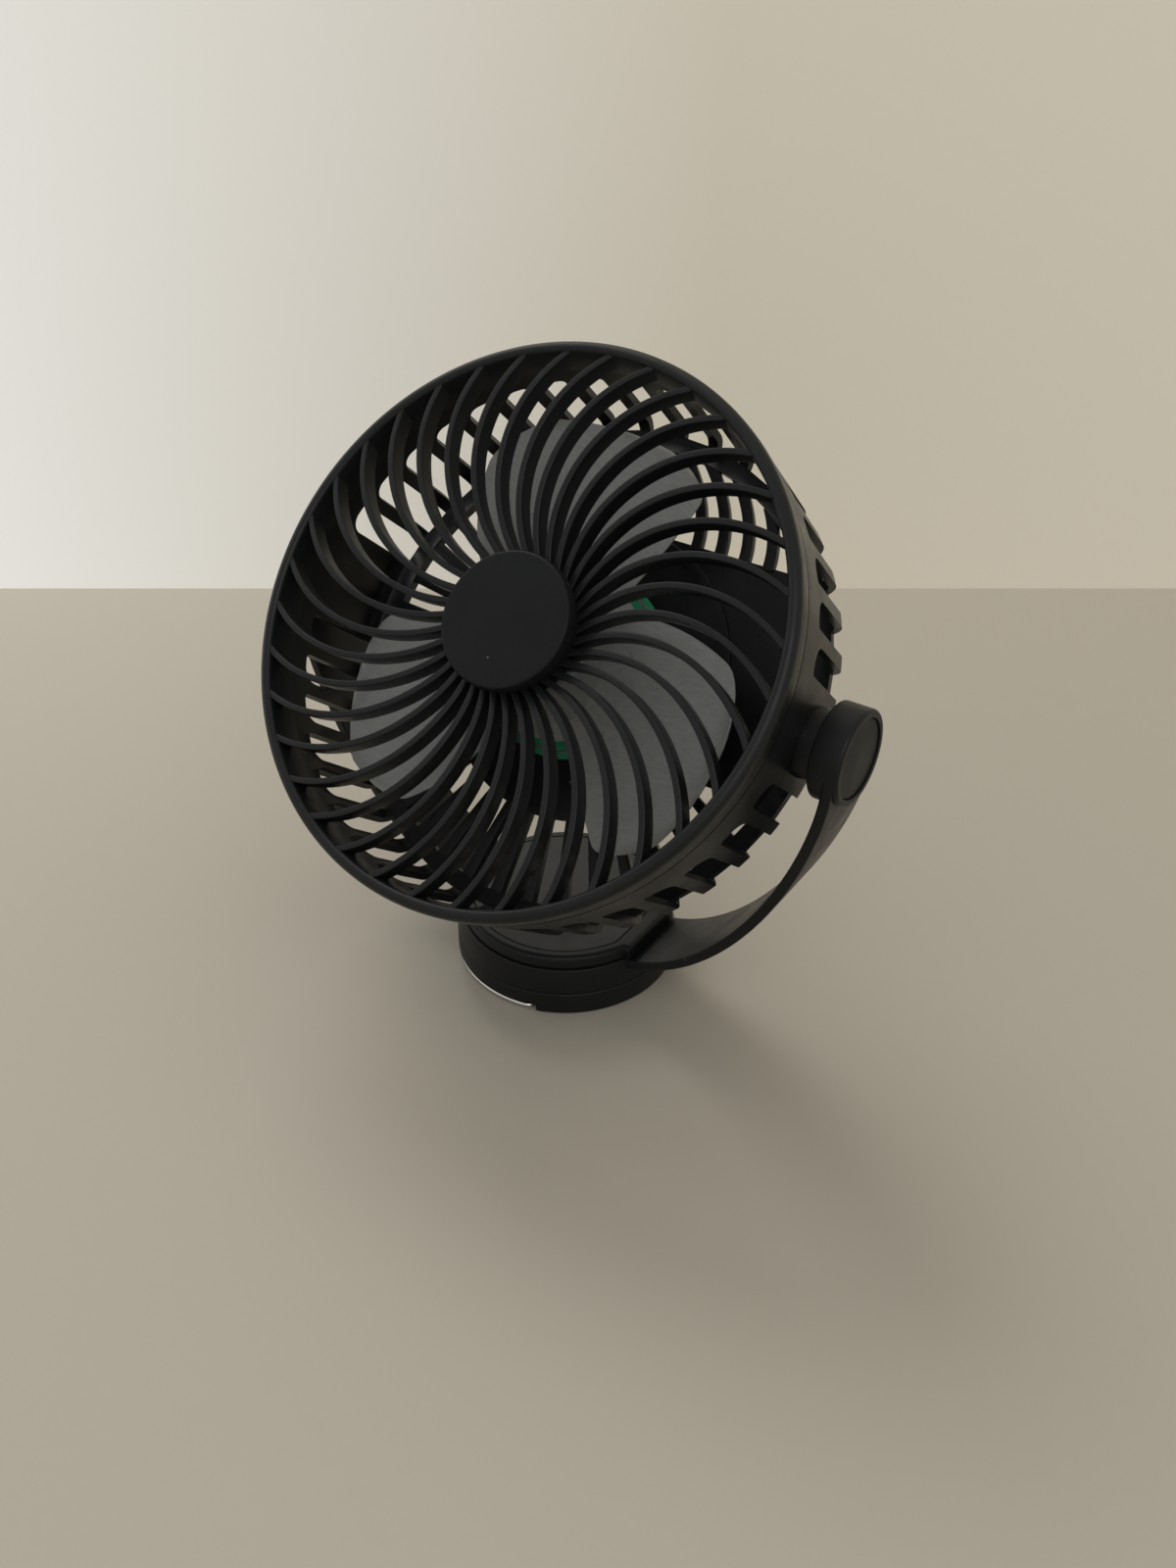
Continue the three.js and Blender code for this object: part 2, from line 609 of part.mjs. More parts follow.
function frontRing() {
  const skirt = mouthRadius - GAP;
  const lipRadius = 2.4;
  return revolve([
    [skirt - 1.6, housingFront - LIP_DEPTH],
    [skirt, housingFront - LIP_DEPTH],
    [skirt, grilleBack],
    [HEAD_RADIUS, grilleBack],
    [RIM_RADIUS, RIM_FORWARD - 2.2],
    ...arc(RIM_RADIUS - lipRadius, RIM_FORWARD, lipRadius, 0, 90 * DEG, 2),
    [FRONT_OPENING + 0.8, RIM_FORWARD + 0.9],
    [FRONT_OPENING, RIM_FORWARD - 0.4],
    [FRONT_OPENING, RIM_FORWARD - 4.6],
    [skirt - 1.6, RIM_FORWARD - 6.4],
    [skirt - 1.6, housingFront - LIP_DEPTH],
  ], FINE);
}

// Front edge of the ribs: it rises from the hub to a crown and falls to the rim.
function ribFront(radius) {
  const { hub, crown, crownRadius, rim } = RIB_HEIGHT;
  const inward = radius < crownRadius;
  const span = inward ? crownRadius - HUB_RADIUS : FRONT_OPENING - crownRadius;
  const away = Math.min(Math.abs(radius - crownRadius) / span, 1);
  return crown - (crown - (inward ? hub : rim)) * away * away;
}

function frontRibAngle(radius) {
  const d = FRONT_RIB_CENTRE;
  return Math.acos((radius * radius + d * d - FRONT_RIB_ARC * FRONT_RIB_ARC) / (2 * radius * d));
}

function frontRib(number) {
  const rimAngle = frontRibAngle(FRONT_OPENING);
  const turn = FRONT_RIB_PHASE + (number * 360 * DEG) / FRONT_RIBS;
  const sections = spread(HUB_RADIUS - 2.4, FRONT_OPENING + 1.4, 5).map((radius) => [
    [radius, ribFront(radius) - FRONT_RIB_DEPTH],
    [radius, ribFront(radius)],
  ]);
  return swirlRib(sections, FRONT_RIB_THICKNESS, (radius) => turn + frontRibAngle(radius) - rimAngle);
}

const grilleHubFront = HUB_FORWARD - HUB_CAP_DEPTH - GAP;
const grilleHubBack = RIB_HEIGHT.hub - FRONT_RIB_DEPTH;
const capSpigotRadius = 9;

function frontGrille() {
  const hub = ring(capSpigotRadius + GAP, HUB_RADIUS - 1.4, grilleHubBack, grilleHubFront);
  const ribs = Array.from({ length: FRONT_RIBS }, (_, i) => frontRib(i));
  return join([frontRing(), hub, ...ribs]);
}

function hubCap() {
  return revolve([
    [0, grilleHubBack],
    [capSpigotRadius, grilleHubBack],
    [capSpigotRadius, grilleHubFront + GAP],
    [HUB_RADIUS - 0.6, grilleHubFront + GAP],
    [HUB_RADIUS, grilleHubFront + GAP + 0.6],
    [HUB_RADIUS, HUB_FORWARD - HUB_EDGE],
    [HUB_RADIUS - HUB_EDGE, HUB_FORWARD],
    [0, HUB_FORWARD],
  ], MEDIUM);
}

// ---- Head: rear housing ----
// The side leans in towards the back and meets the flat back in a rounded shoulder.
const sideRadius = (z) => HEAD_RADIUS - (SEAM_FORWARD - z) * Math.tan(WALL_TAPER);
const shoulderZ = REAR_FACE + SHOULDER;
const shoulderR = sideRadius(shoulderZ) - SHOULDER / Math.cos(WALL_TAPER);

// The shoulder's outer or inner line at a depth below the surface, forwards from a radius.
function shoulderLine(radius, depth) {
  const bend = SHOULDER - depth;
  const rear = -Math.acos(Math.max(0, radius - shoulderR) / bend);
  return arc(shoulderR, shoulderZ, bend, rear, -WALL_TAPER, 2);
}

// A slot between two bars of the side. Of its two front corners one is wide and one is tight.
function sideSlot(turn) {
  const { width, back, front, tightCorner, wideCorner } = SIDE_SLOT;
  const half = width / 2;
  const shape = new THREE.Shape();
  shape.moveTo(-half, back);
  shape.lineTo(half, back);
  shape.absarc(half - wideCorner, front - wideCorner, wideCorner, 0, 90 * DEG);
  shape.absarc(tightCorner - half, front - tightCorner, tightCorner, 90 * DEG, 180 * DEG);
  const reach = HEAD_RADIUS - REAR_CENTRE_RADIUS;
  return new THREE.ExtrudeGeometry(shape, { depth: reach, bevelEnabled: false, curveSegments: 2 })
    .rotateX(90 * DEG)
    .rotateZ(90 * DEG)
    .translate(REAR_CENTRE_RADIUS + reach / 2, 0, 0)
    .rotateZ(turn);
}

// Band, side wall, shoulder and the ring that carries the back's ribs, in one shell. Slots go all round
// it except beside the trunnions.
function slottedWall(turns) {
  const { inner, outer } = REAR_RING;
  const ringFront = REAR_FACE + REAR_RIB_DEPTH;
  const shell = revolve([
    [inner, REAR_FACE],
    ...shoulderLine(shoulderR, 0),
    [HEAD_RADIUS, housingFront],
    [mouthRadius, housingFront],
    ...shoulderLine(outer, WALL).reverse(),
    [inner, ringFront],
    [inner, REAR_FACE],
  ], REAR_RIBS);
  const slots = turns
    .map((turn) => turn + (180 * DEG) / REAR_RIBS)
    .filter((turn) => Math.abs(Math.sin(turn)) > Math.sin(PAD_HALF_ANGLE));
  return cut(shell, slots.map(sideSlot));
}

// A straight rib of the back, which widens from the centre disc to the rear ring.
function rearRib(turn) {
  const start = REAR_CENTRE_RADIUS - 1;
  const end = REAR_RING.inner + 1;
  const { centre, ring: outer } = REAR_RIB_WIDTH;
  const shape = new THREE.Shape();
  shape.moveTo(start, -centre / 2);
  shape.lineTo(end, -outer / 2);
  shape.lineTo(end, outer / 2);
  shape.lineTo(start, centre / 2);
  const depth = REAR_RIB_DEPTH - 2 * REAR_RIB_INSET;
  return new THREE.ExtrudeGeometry(shape, { depth, bevelEnabled: false })
    .translate(0, 0, REAR_FACE + REAR_RIB_INSET)
    .rotateZ(turn);
}

// The closed part of the back, between the centre disc and the right pivot.
function rearPanel() {
  const front = REAR_FACE + WALL;
  const { low, high } = REAR_PANEL;
  const whole = disc(REAR_RING.inner + 1, REAR_FACE, front, REAR_RIBS);
  return common(whole, box(0, HEAD_RADIUS, low, high, REAR_FACE - 1, front + 1));
}

const coveredByPanel = (turn) => {
  const { low, high } = REAR_PANEL;
  const across = REAR_RING.inner * Math.sin(turn);
  return Math.cos(turn) > 0 && across > low && across < high;
};

function trunnion() {
  const neckEnd = bossInnerX - GAP;
  const pinEnd = pinSeatX - GAP;
  const start = mouthRadius - 0.6;
  const screwHole = PIVOT_SCREW.radius + GAP;
  return alongX(revolve([
    [0, start],
    [NECK_RADIUS, start],
    [NECK_RADIUS, neckEnd],
    [PIN_RADIUS, neckEnd],
    [PIN_RADIUS, pinEnd],
    [screwHole, pinEnd],
    [screwHole, pinEnd - PIVOT_SCREW.reach],
    [0, pinEnd - PIVOT_SCREW.reach],
  ]));
}

function rearHousing() {
  const turns = Array.from({ length: REAR_RIBS }, (_, i) => (i * 360 * DEG) / REAR_RIBS);
  const centre = revolve([
    [0, REAR_FACE],
    [REAR_CENTRE_RADIUS - 2, REAR_FACE],
    [REAR_CENTRE_RADIUS, REAR_FACE + 1.2],
    [REAR_CENTRE_RADIUS, REAR_FACE + REAR_RIB_DEPTH],
    [REAR_CENTRE_RADIUS - 2.4, REAR_FACE + REAR_RIB_DEPTH],
    [REAR_CENTRE_RADIUS - 2.4, REAR_FACE + REAR_CENTRE_THICKNESS],
    [TUBE_RADIUS + GAP + 3, REAR_FACE + REAR_CENTRE_THICKNESS],
    [TUBE_RADIUS + GAP + 3, BOARD_DISC.back - GAP],
    [TUBE_RADIUS + GAP, BOARD_DISC.back - GAP],
    [TUBE_RADIUS + GAP, REAR_FACE + REAR_CENTRE_THICKNESS],
    [0, REAR_FACE + REAR_CENTRE_THICKNESS],
  ]);
  const sides = [0, 180 * DEG];
  return join([
    slottedWall(turns),
    centre,
    rearPanel(),
    ...sides.map((turn) => trunnion().rotateZ(turn)),
    ...turns.filter((turn) => !coveredByPanel(turn)).map(rearRib),
  ]);
}

const pivotWasher = () =>
  alongX(ring(PIVOT_SCREW.radius + GAP, WASHER.radius, 0, WASHER.thickness))
    .translate(pinSeatX + GAP, 0, 0);

function pivotScrew() {
  const headX = pinSeatX + GAP + WASHER.thickness + GAP;
  const length = headX - (pinSeatX - GAP - PIVOT_SCREW.reach) - 1;
  return alongX(panScrew(PIVOT_SCREW.radius, PIVOT_SCREW.headRadius, length)).translate(headX, 0, 0);
}

// ---- Motor ----
const boardFront = BOARD_DISC.back + BOARD_DISC.thickness;

const motorBoard = () => ring(TUBE_RADIUS + GAP, BOARD_DISC.radius, BOARD_DISC.back, boardFront);

function boardPlug() {
  const { width, depth, height, radius, angle } = PLUG;
  const body = box(-depth / 2, depth / 2, -width / 2, width / 2, 0, height);
  const mouth = box(-depth / 2 + 0.7, depth / 2 - 0.7, -width / 2 + 0.7, width / 2 - 0.7, 1.2, height + 1);
  return cut(body, [mouth]).translate(radius, 0, boardFront + GAP).rotateZ(angle);
}

const bearingTube = () =>
  ring(SHAFT_RADIUS + GAP, TUBE_RADIUS, TUBE_BACK, TUBE_FRONT, SMALL);

// The stator: a core with poles, and a coil round each pole's neck.
function motorStator() {
  const { radius, back, front, poles, core, neck } = STATOR;
  const hub = ring(TUBE_RADIUS + GAP, core, back + 2, front - 2, SMALL);
  const pieces = Array.from({ length: poles }, (_, i) => {
    const turn = (i * 360 * DEG) / poles;
    const stem = box(core - 1, radius - 1, -neck / 2, neck / 2, back + 2, front - 2);
    const coil = box(core + 1, radius - 3, -neck, neck, back, front);
    return join([stem, coil]).rotateZ(turn);
  });
  const shoes = Array.from({ length: poles }, (_, i) => {
    const turn = (i * 360 * DEG) / poles;
    return box(radius - 2.2, radius - 0.9, -5, 5, back + 2, front - 2).rotateZ(turn);
  });
  return join([hub, ...pieces, ...shoes]);
}

// ---- Impeller ----
const bossOnRotor = 4.2;

function rotorCup() {
  const inner = ROTOR_RADIUS - ROTOR_SKIN;
  return revolve([
    [SHAFT_RADIUS + GAP / 3, TUBE_FRONT + GAP + 0.6],
    [bossOnRotor, TUBE_FRONT + GAP + 0.6],
    [bossOnRotor, ROTOR_FRONT - ROTOR_SKIN],
    [inner, ROTOR_FRONT - ROTOR_SKIN],
    [inner, ROTOR_BACK],
    [ROTOR_RADIUS, ROTOR_BACK],
    [ROTOR_RADIUS, ROTOR_FRONT - 1.8],
    [ROTOR_RADIUS - 1.8, ROTOR_FRONT],
    [SHAFT_RADIUS + GAP / 3, ROTOR_FRONT],
    [SHAFT_RADIUS + GAP / 3, TUBE_FRONT + GAP + 0.6],
  ]);
}

// One broad blade, twisted from hub to tip, with rounded outer corners.
function blade(number) {
  const turn = BLADE_PHASE + (number * 360 * DEG) / BLADES;
  const across = 4;
  const out = 6;
  const mix = (a, b, t) => a + (b - a) * t;
  const sections = Array.from({ length: out + 1 }, (_, i) => {
    const t = i / out;
    const radius = mix(ROTOR_RADIUS - ROTOR_SKIN / 2, IMPELLER_RADIUS, t);
    const tuck = 10 * DEG * Math.pow(t, 12); // the corners draw in at the tip
    const lead = mix(BLADE_LEAD.hub, BLADE_LEAD.tip, t) - tuck;
    const trail = mix(BLADE_TRAIL.hub, BLADE_TRAIL.tip, t) + tuck;
    const rise = mix(BLADE_HEIGHT.hubRise, BLADE_HEIGHT.tipRise, t);
    const point = (s, side) => {
      const angle = turn + mix(trail, lead, s);
      const z = BLADE_HEIGHT.middle + rise * (2 * s - 1) + (side * BLADE_THICKNESS) / 2;
      return new THREE.Vector3(radius * Math.cos(angle), radius * Math.sin(angle), z);
    };
    const row = Array.from({ length: across + 1 }, (_, j) => j / across);
    return [...row.map((s) => point(s, -1)), ...row.reverse().map((s) => point(s, 1))];
  });
  return loft(sections);
}

function impeller() {
  const blades = Array.from({ length: BLADES }, (_, i) => blade(i));
  return join([rotorCup(), ...blades]);
}

const magnetRing = () => ring(MAGNET.inner, MAGNET.outer, MAGNET.back, MAGNET.front);
const shaft = () => disc(SHAFT_RADIUS, SHAFT_BACK, ROTOR_FRONT, SMALL);
const shaftCollar = () => ring(SHAFT_RADIUS + GAP / 3, COLLAR.radius, COLLAR.back, COLLAR.front, SMALL);

// ---- Assembly ----
const COLOURS = {
  plastic: 0x24272a,
  rubber: 0x141414,
  steel: 0xc8cacc,
  brass: 0xb08d4a,
  smoke: 0x8f9496,
  board: 0x1e6b45,
  battery: 0x5f7f9c,
  copper: 0xb5652d,
  cream: 0xd8cfa8,
  magnet: 0x3a3a3c,
  lens: 0xe8eef0,
};

function mesh(name, geometry, colour) {
  const made = new THREE.Mesh(geometry, new THREE.MeshStandardMaterial({ color: COLOURS[colour] }));
  made.name = name;
  return made;
}

function group(name, children) {
  const made = new THREE.Group();
  made.name = name;
  made.add(...children);
  return made;
}

const other = (geometry) => geometry.rotateZ(180 * DEG); // the same piece on the left side

const base = group("base", [
  mesh("base_shell", baseShell(), "plastic"),
  mesh("foot_pad", footPad(), "rubber"),
  mesh("swivel_screw", swivelScrew(), "steel"),
  mesh("swivel_washer", swivelWasher(), "steel"),
  mesh("hook_wire", hookWire(), "steel"),
]);

const yoke = group("yoke", [
  mesh("yoke_moulding", yokeMoulding(), "plastic"),
  mesh("ring_cover", ringCover(), "plastic"),
  mesh("cover_inlay", coverInlay(), "plastic"),
  mesh("boss_cap_right", bossCap(), "plastic"),
  mesh("boss_cap_left", other(bossCap()), "plastic"),
  mesh("battery_pack", batteryPack(), "battery"),
  mesh("control_board", controlBoard(), "board"),
  mesh("tact_switch", tactSwitch(), "magnet"),
  mesh("charging_port", chargingPort(), "steel"),
  mesh("charge_lens", chargeLens(), "lens"),
  mesh("power_button", powerButton(), "rubber"),
]);

const spinner = group("spinner", [
  mesh("impeller", impeller(), "smoke"),
  mesh("magnet_ring", magnetRing(), "magnet"),
  mesh("motor_shaft", shaft(), "steel"),
  mesh("shaft_collar", shaftCollar(), "brass"),
]);

const head = group("head", [
  mesh("front_grille", frontGrille(), "plastic"),
  mesh("hub_cap", hubCap(), "plastic"),
  mesh("rear_housing", rearHousing(), "plastic"),
  mesh("pivot_washer_right", pivotWasher(), "steel"),
  mesh("pivot_washer_left", other(pivotWasher()), "steel"),
  mesh("pivot_screw_right", pivotScrew(), "steel"),
  mesh("pivot_screw_left", other(pivotScrew()), "steel"),
  mesh("motor_board", motorBoard(), "board"),
  mesh("board_plug", boardPlug(), "cream"),
  mesh("bearing_tube", bearingTube(), "brass"),
  mesh("motor_stator", motorStator(), "copper"),
  spinner,
]);
head.position.z = PIVOT_Z;
head.rotation.x = 90 * DEG - HEAD_ELEVATION;

export default group("clip_fan", [base, yoke, head]);
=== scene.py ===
"""A small desk and camping fan on a pale table: its fine shapes, its finishes, the light and the camera."""

import math

import bmesh
import bpy
from mathutils import Matrix, Vector


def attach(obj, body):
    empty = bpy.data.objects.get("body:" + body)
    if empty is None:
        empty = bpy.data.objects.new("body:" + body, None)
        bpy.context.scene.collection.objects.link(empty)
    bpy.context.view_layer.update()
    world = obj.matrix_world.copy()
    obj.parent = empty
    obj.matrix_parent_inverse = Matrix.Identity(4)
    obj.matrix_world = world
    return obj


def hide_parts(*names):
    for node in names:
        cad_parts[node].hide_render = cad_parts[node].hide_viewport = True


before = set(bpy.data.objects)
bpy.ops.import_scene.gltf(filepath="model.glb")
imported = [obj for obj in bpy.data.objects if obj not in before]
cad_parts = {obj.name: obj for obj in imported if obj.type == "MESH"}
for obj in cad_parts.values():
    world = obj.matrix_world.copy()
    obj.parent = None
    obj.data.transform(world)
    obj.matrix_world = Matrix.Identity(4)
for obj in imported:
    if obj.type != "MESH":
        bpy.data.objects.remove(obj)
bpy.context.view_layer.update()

scene = bpy.context.scene
MM = 0.001
TAU = 2 * math.pi
rad = math.radians

# ---- Sizes of the fan, in millimetres and radians ----
# The solids have straight ribs in place of the curved ones, no notches in the rear ring and no skirt on
# the rotor, and their blades are narrower at the root.
GAP = 0.3
BASE_RADIUS = 35.5
BASE_SEAM_Z = 8.25
FOOT_RADIUS = 28.7
FOOT_THICKNESS = 1.6
HOOK_WIRE_RADIUS = 0.8
HOOK_Z = 1.6
HOOK_AXIS_ANGLE = rad(-74)
HOOK_BEND = 1.7
HOOK_END_RADIUS = 30.4
RING_TOP_Z = 16.6
RING_TOP_RADIUS = 33.9
RING_INNER_RADIUS = 31.5
ARM_THICKNESS = 3.2
ARM_WIDTH = 26
ARM_ROOT = (33, 0, 15)
ARM_SLOPE = rad(16)
ARM_MIDDLE_X = 93.4
ARM_ROOT_PULL = 38
ARM_TOP_PULL = 26.5
ARM_WIDENS_FROM_Z = 36
BOSS_RADIUS = 13.9
BOSS_BORE_RADIUS = 6.3
BOSS_INNER_X = 87
BOSS_OUTER_X = 96.2
CAP_RADIUS = 11.4
CAP_SUNK = 0.6
CAP_THICKNESS = 0.8
COVER_TOP_Z = 21.2
COVER_RADIUS = 33.2
COVER_FLAT_X = 32.8
COVER_FLAT_HALF = 12.7
INLAY_RADIUS = 29.7
INLAY_FLAT_X = 27.3
OUTLINE_STEPS = 240
CONTROL_Z = 13
# Width, height, corner and turn of the openings for the button, the charging inlet and its light
WALL_OPENINGS = ((8.6, 4.2, 1.5, rad(90)), (9.6, 3.9, 1.9, rad(126)), (3.0, 3.0, 1.5, rad(66)))
BUTTON_WIDTH = 8
BUTTON_HEIGHT = 3.6
BUTTON_OUT = 0.7
PIVOT_Z = 108.7
HEAD_ELEVATION = rad(42.2)
HEAD_RADIUS = 82.6
RIM_RADIUS = 83
RIM_FORWARD = 32.7
SEAM_FORWARD = 26.7
FRONT_OPENING = 78.6
HUB_RADIUS = 19.9
HUB_FORWARD = 38.3
FRONT_RIBS = 36
FRONT_RIB_ARC = 45.5
FRONT_RIB_CENTRE = 56.8
FRONT_RIB_PHASE = rad(2.8)
FRONT_RIB_WIDTH = 1.9
FRONT_RIB_DEPTH = 6
FRONT_RIB_CROWN_RADIUS = 62
FRONT_RIB_HUB_Z = 31.4
FRONT_RIB_CROWN_Z = 36
FRONT_RIB_RIM_Z = 34.4
HUB_SEAT_Z = 25.4
REAR_RIBS = 40
REAR_RIB_DEPTH = 3.6
REAR_RIB_INSET = 0.25
REAR_RIB_CENTRE_WIDTH = 2.4
REAR_RIB_RING_WIDTH = 4.2
CURVED_RIBS = 5
CURVED_RIB_WIDTH = 3.3
CURVED_RIB_PITCH = 8.1
CURVED_RIB_FOOT_X = 18.8
CURVED_RIB_FOOT_Y = 44
CURVED_RIB_LEAN = 0.0195
LAST_CURVED_TURN = rad(85.5)
REAR_FACE = -18.3
REAR_CENTRE_RADIUS = 46
REAR_CENTRE_THICKNESS = 2.5
REAR_RING_INNER = 71.5
REAR_RING_OUTER = 76.5
REAR_PANEL_LOW = -20
REAR_PANEL_HIGH = 46
WALL = 2.2
WALL_TAPER = rad(3)
SHOULDER = 8
SLOT_WIDTH = 8.5
SLOT_BACK = -14.4
SLOT_FRONT = 15.3
SLOT_WIDE_CORNER = 5
SLOT_TIGHT_CORNER = 1.2
PAD_HALF_ANGLE = rad(9)
TUBE_SLEEVE_INNER = 3.3
TUBE_SLEEVE_OUTER = 6.3
TUBE_SLEEVE_FRONT = -8.9
NECK_RADIUS = 10.3
NECK_START_X = 79.8
PIN_RADIUS = 6
PIN_END_X = 90.7
PIN_HOLE_RADIUS = 1.7
PIN_HOLE_END_X = 84.7
ROTOR_RADIUS = 20.5
ROTOR_SKIN = 1.6
ROTOR_FRONT = 24
ROTOR_BACK = -2
ROTOR_BOSS_RADIUS = 4.2
ROTOR_BOSS_BACK = 17.9
SHAFT_RADIUS = 1.1
SKIRT_RADIUS = 25
IMPELLER_RADIUS = 66.8
BLADES = 3
BLADE_PHASE = rad(96)
# Turn of a blade's two edges, and half of its height along the axis, at its root and at its tip
BLADE_LEAD = (rad(60), rad(29))
BLADE_TRAIL = (rad(-36), rad(-30))
BLADE_RISE = (9.5, 6.5)
BLADE_MIDDLE_Z = 11
BLADE_THICKNESS = 1.5
BOARD_RADIUS = 29
BOARD_BORE = 3.4
BOARD_THICKNESS = 1.6
BOARD_FRONT = -7
# Turn in degrees, distance from the axis, length, width and height of each part on the board
BOARD_PARTS = (
    (-58, 24.2, 4.4, 3.6, 1.4),
    (-112, 24.6, 2.4, 1.4, 0.8),
    (-126, 24.4, 2.4, 1.4, 0.8),
    (160, 24, 5, 4, 1.5),
    (-84, 25, 2.0, 1.2, 0.7),
)

HEAD = Matrix.Translation((0, 0, PIVOT_Z)) @ Matrix.Rotation(rad(90) - HEAD_ELEVATION, 4, "X")
STILL = Matrix.Identity(4)
LEFT_SIDE = Matrix.Rotation(math.pi, 4, "Z")
ALONG_X = Matrix.Rotation(math.pi / 2, 4, "Y")
PIVOT = Matrix.Translation((0, 0, PIVOT_Z)) @ ALONG_X


# ---- Making pieces ----
def finished(name, bm, material, place=STILL):
    """Turns a bmesh in millimetres into an object whose place is in its mesh."""
    bmesh.ops.remove_doubles(bm, verts=bm.verts, dist=1e-4)
    bmesh.ops.recalc_face_normals(bm, faces=bm.faces)
    mesh = bpy.data.meshes.new(name)
    bm.to_mesh(mesh)
    bm.free()
    mesh.transform(Matrix.Scale(MM, 4) @ place)
    mesh.materials.append(material)
    piece = bpy.data.objects.new(name, mesh)
    scene.collection.objects.link(piece)
    smoothed(piece)
    return piece


def smoothed(piece, sharp=35):
    """Shades a piece smooth, with hard edges above an angle in degrees."""
    piece.data.shade_smooth()
    piece.data.set_sharp_from_angle(angle=rad(sharp))


def baked_mesh(piece):
    """Replaces an object's mesh by what its modifiers make of it."""
    result = bpy.data.meshes.new_from_object(
        piece.evaluated_get(bpy.context.evaluated_depsgraph_get())
    )
    piece.modifiers.clear()
    piece.data = result


def dress(piece, body, slot, *nodes):
    """Says which body carries the piece and the solids that it stands for; the slot argument, a finish
    name, is not used.
    """
    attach(piece, body)
    if nodes:
        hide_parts(*nodes)


def arc(centre_r, centre_z, radius, start, end, steps):
    """Points along an arc, from one turn to another."""
    turns = [start + (end - start) * i / steps for i in range(steps + 1)]
    return [(centre_r + radius * math.cos(t), centre_z + radius * math.sin(t)) for t in turns]


def revolve(bm, profile, segments, place=STILL):
    """Adds a body of revolution about Z. The profile is a list of (radius, height)."""
    closed = profile[0] == profile[-1]
    points = profile[:-1] if closed else profile
    rings = []
    for r, z in points:
        if r < 1e-6:
            rings.append([bm.verts.new(place @ Vector((0, 0, z)))])
            continue
        turns = [TAU * i / segments for i in range(segments)]
        rings.append([bm.verts.new(place @ Vector((r * math.cos(t), r * math.sin(t), z))) for t in turns])
    pairs = list(zip(rings, rings[1:]))
    if closed:
        pairs.append((rings[-1], rings[0]))
    for low, high in pairs:
        for i in range(segments):
            j = (i + 1) % segments
            corners = [low[i % len(low)], low[j % len(low)], high[j % len(high)], high[i % len(high)]]
            corners = list(dict.fromkeys(corners))
            if len(corners) > 2:
                bm.faces.new(corners)


def washer(bm, inner, outer, back, front, segments):
    """Adds a flat ring about Z."""
    profile = [(inner, back), (outer, back), (outer, front), (inner, front), (inner, back)]
    revolve(bm, profile, segments)


def loft(bm, sections, place=STILL):
    """Adds a closed body through a row of loops of points."""
    rows = [[bm.verts.new(place @ Vector(p)) for p in loop] for loop in sections]
    count = len(rows[0])
    for low, high in zip(rows, rows[1:]):
        for i in range(count):
            j = (i + 1) % count
            bm.faces.new([low[i], low[j], high[j], high[i]])
    bm.faces.new(rows[0][::-1])
    bm.faces.new(rows[-1])


def rounded_box(width, height, corner, steps=4):
    """Loop of a rounded rectangle, as (across, up) pairs."""
    loop = []
    for turn, (sx, sy) in enumerate([(1, 1), (-1, 1), (-1, -1), (1, -1)]):
        cx, cy = sx * (width / 2 - corner), sy * (height / 2 - corner)
        loop += arc(cx, cy, corner, turn * math.pi / 2, (turn + 1) * math.pi / 2, steps)
    return loop


def bar(bm, x0, x1, y0, y1, z0, z1, edge, place):
    """Adds a box with softened edges, standing along Z."""
    middle = Vector(((x0 + x1) / 2, (y0 + y1) / 2, 0))
    levels = [(z0, edge), (z0 + edge, 0), (z1 - edge, 0), (z1, edge)]
    loops = []
    for z, inset in levels:
        loop = rounded_box(x1 - x0 - 2 * inset, y1 - y0 - 2 * inset, edge, 2)
        loops.append([middle + Vector((x, y, z)) for x, y in loop])
    loft(bm, loops, place)


def carve(piece, *cutters):
    """Cuts closed pieces out of another, and drops them."""
    for cutter in cutters:
        cut = piece.modifiers.new("cut", "BOOLEAN")
        cut.operation = "DIFFERENCE"
        cut.solver = "EXACT"
        cut.object = cutter
    baked_mesh(piece)
    for cutter in cutters:
        bpy.data.objects.remove(cutter)
    smoothed(piece)


def softened(piece, width):
    """Rounds a piece's sharp edges by a width in millimetres."""
    round_off = piece.modifiers.new("soft_edges", "BEVEL")
    round_off.width = width * MM
    round_off.segments = 2
    round_off.limit_method = "ANGLE"
    round_off.angle_limit = rad(50)
    baked_mesh(piece)
    smoothed(piece, 60)
    return piece


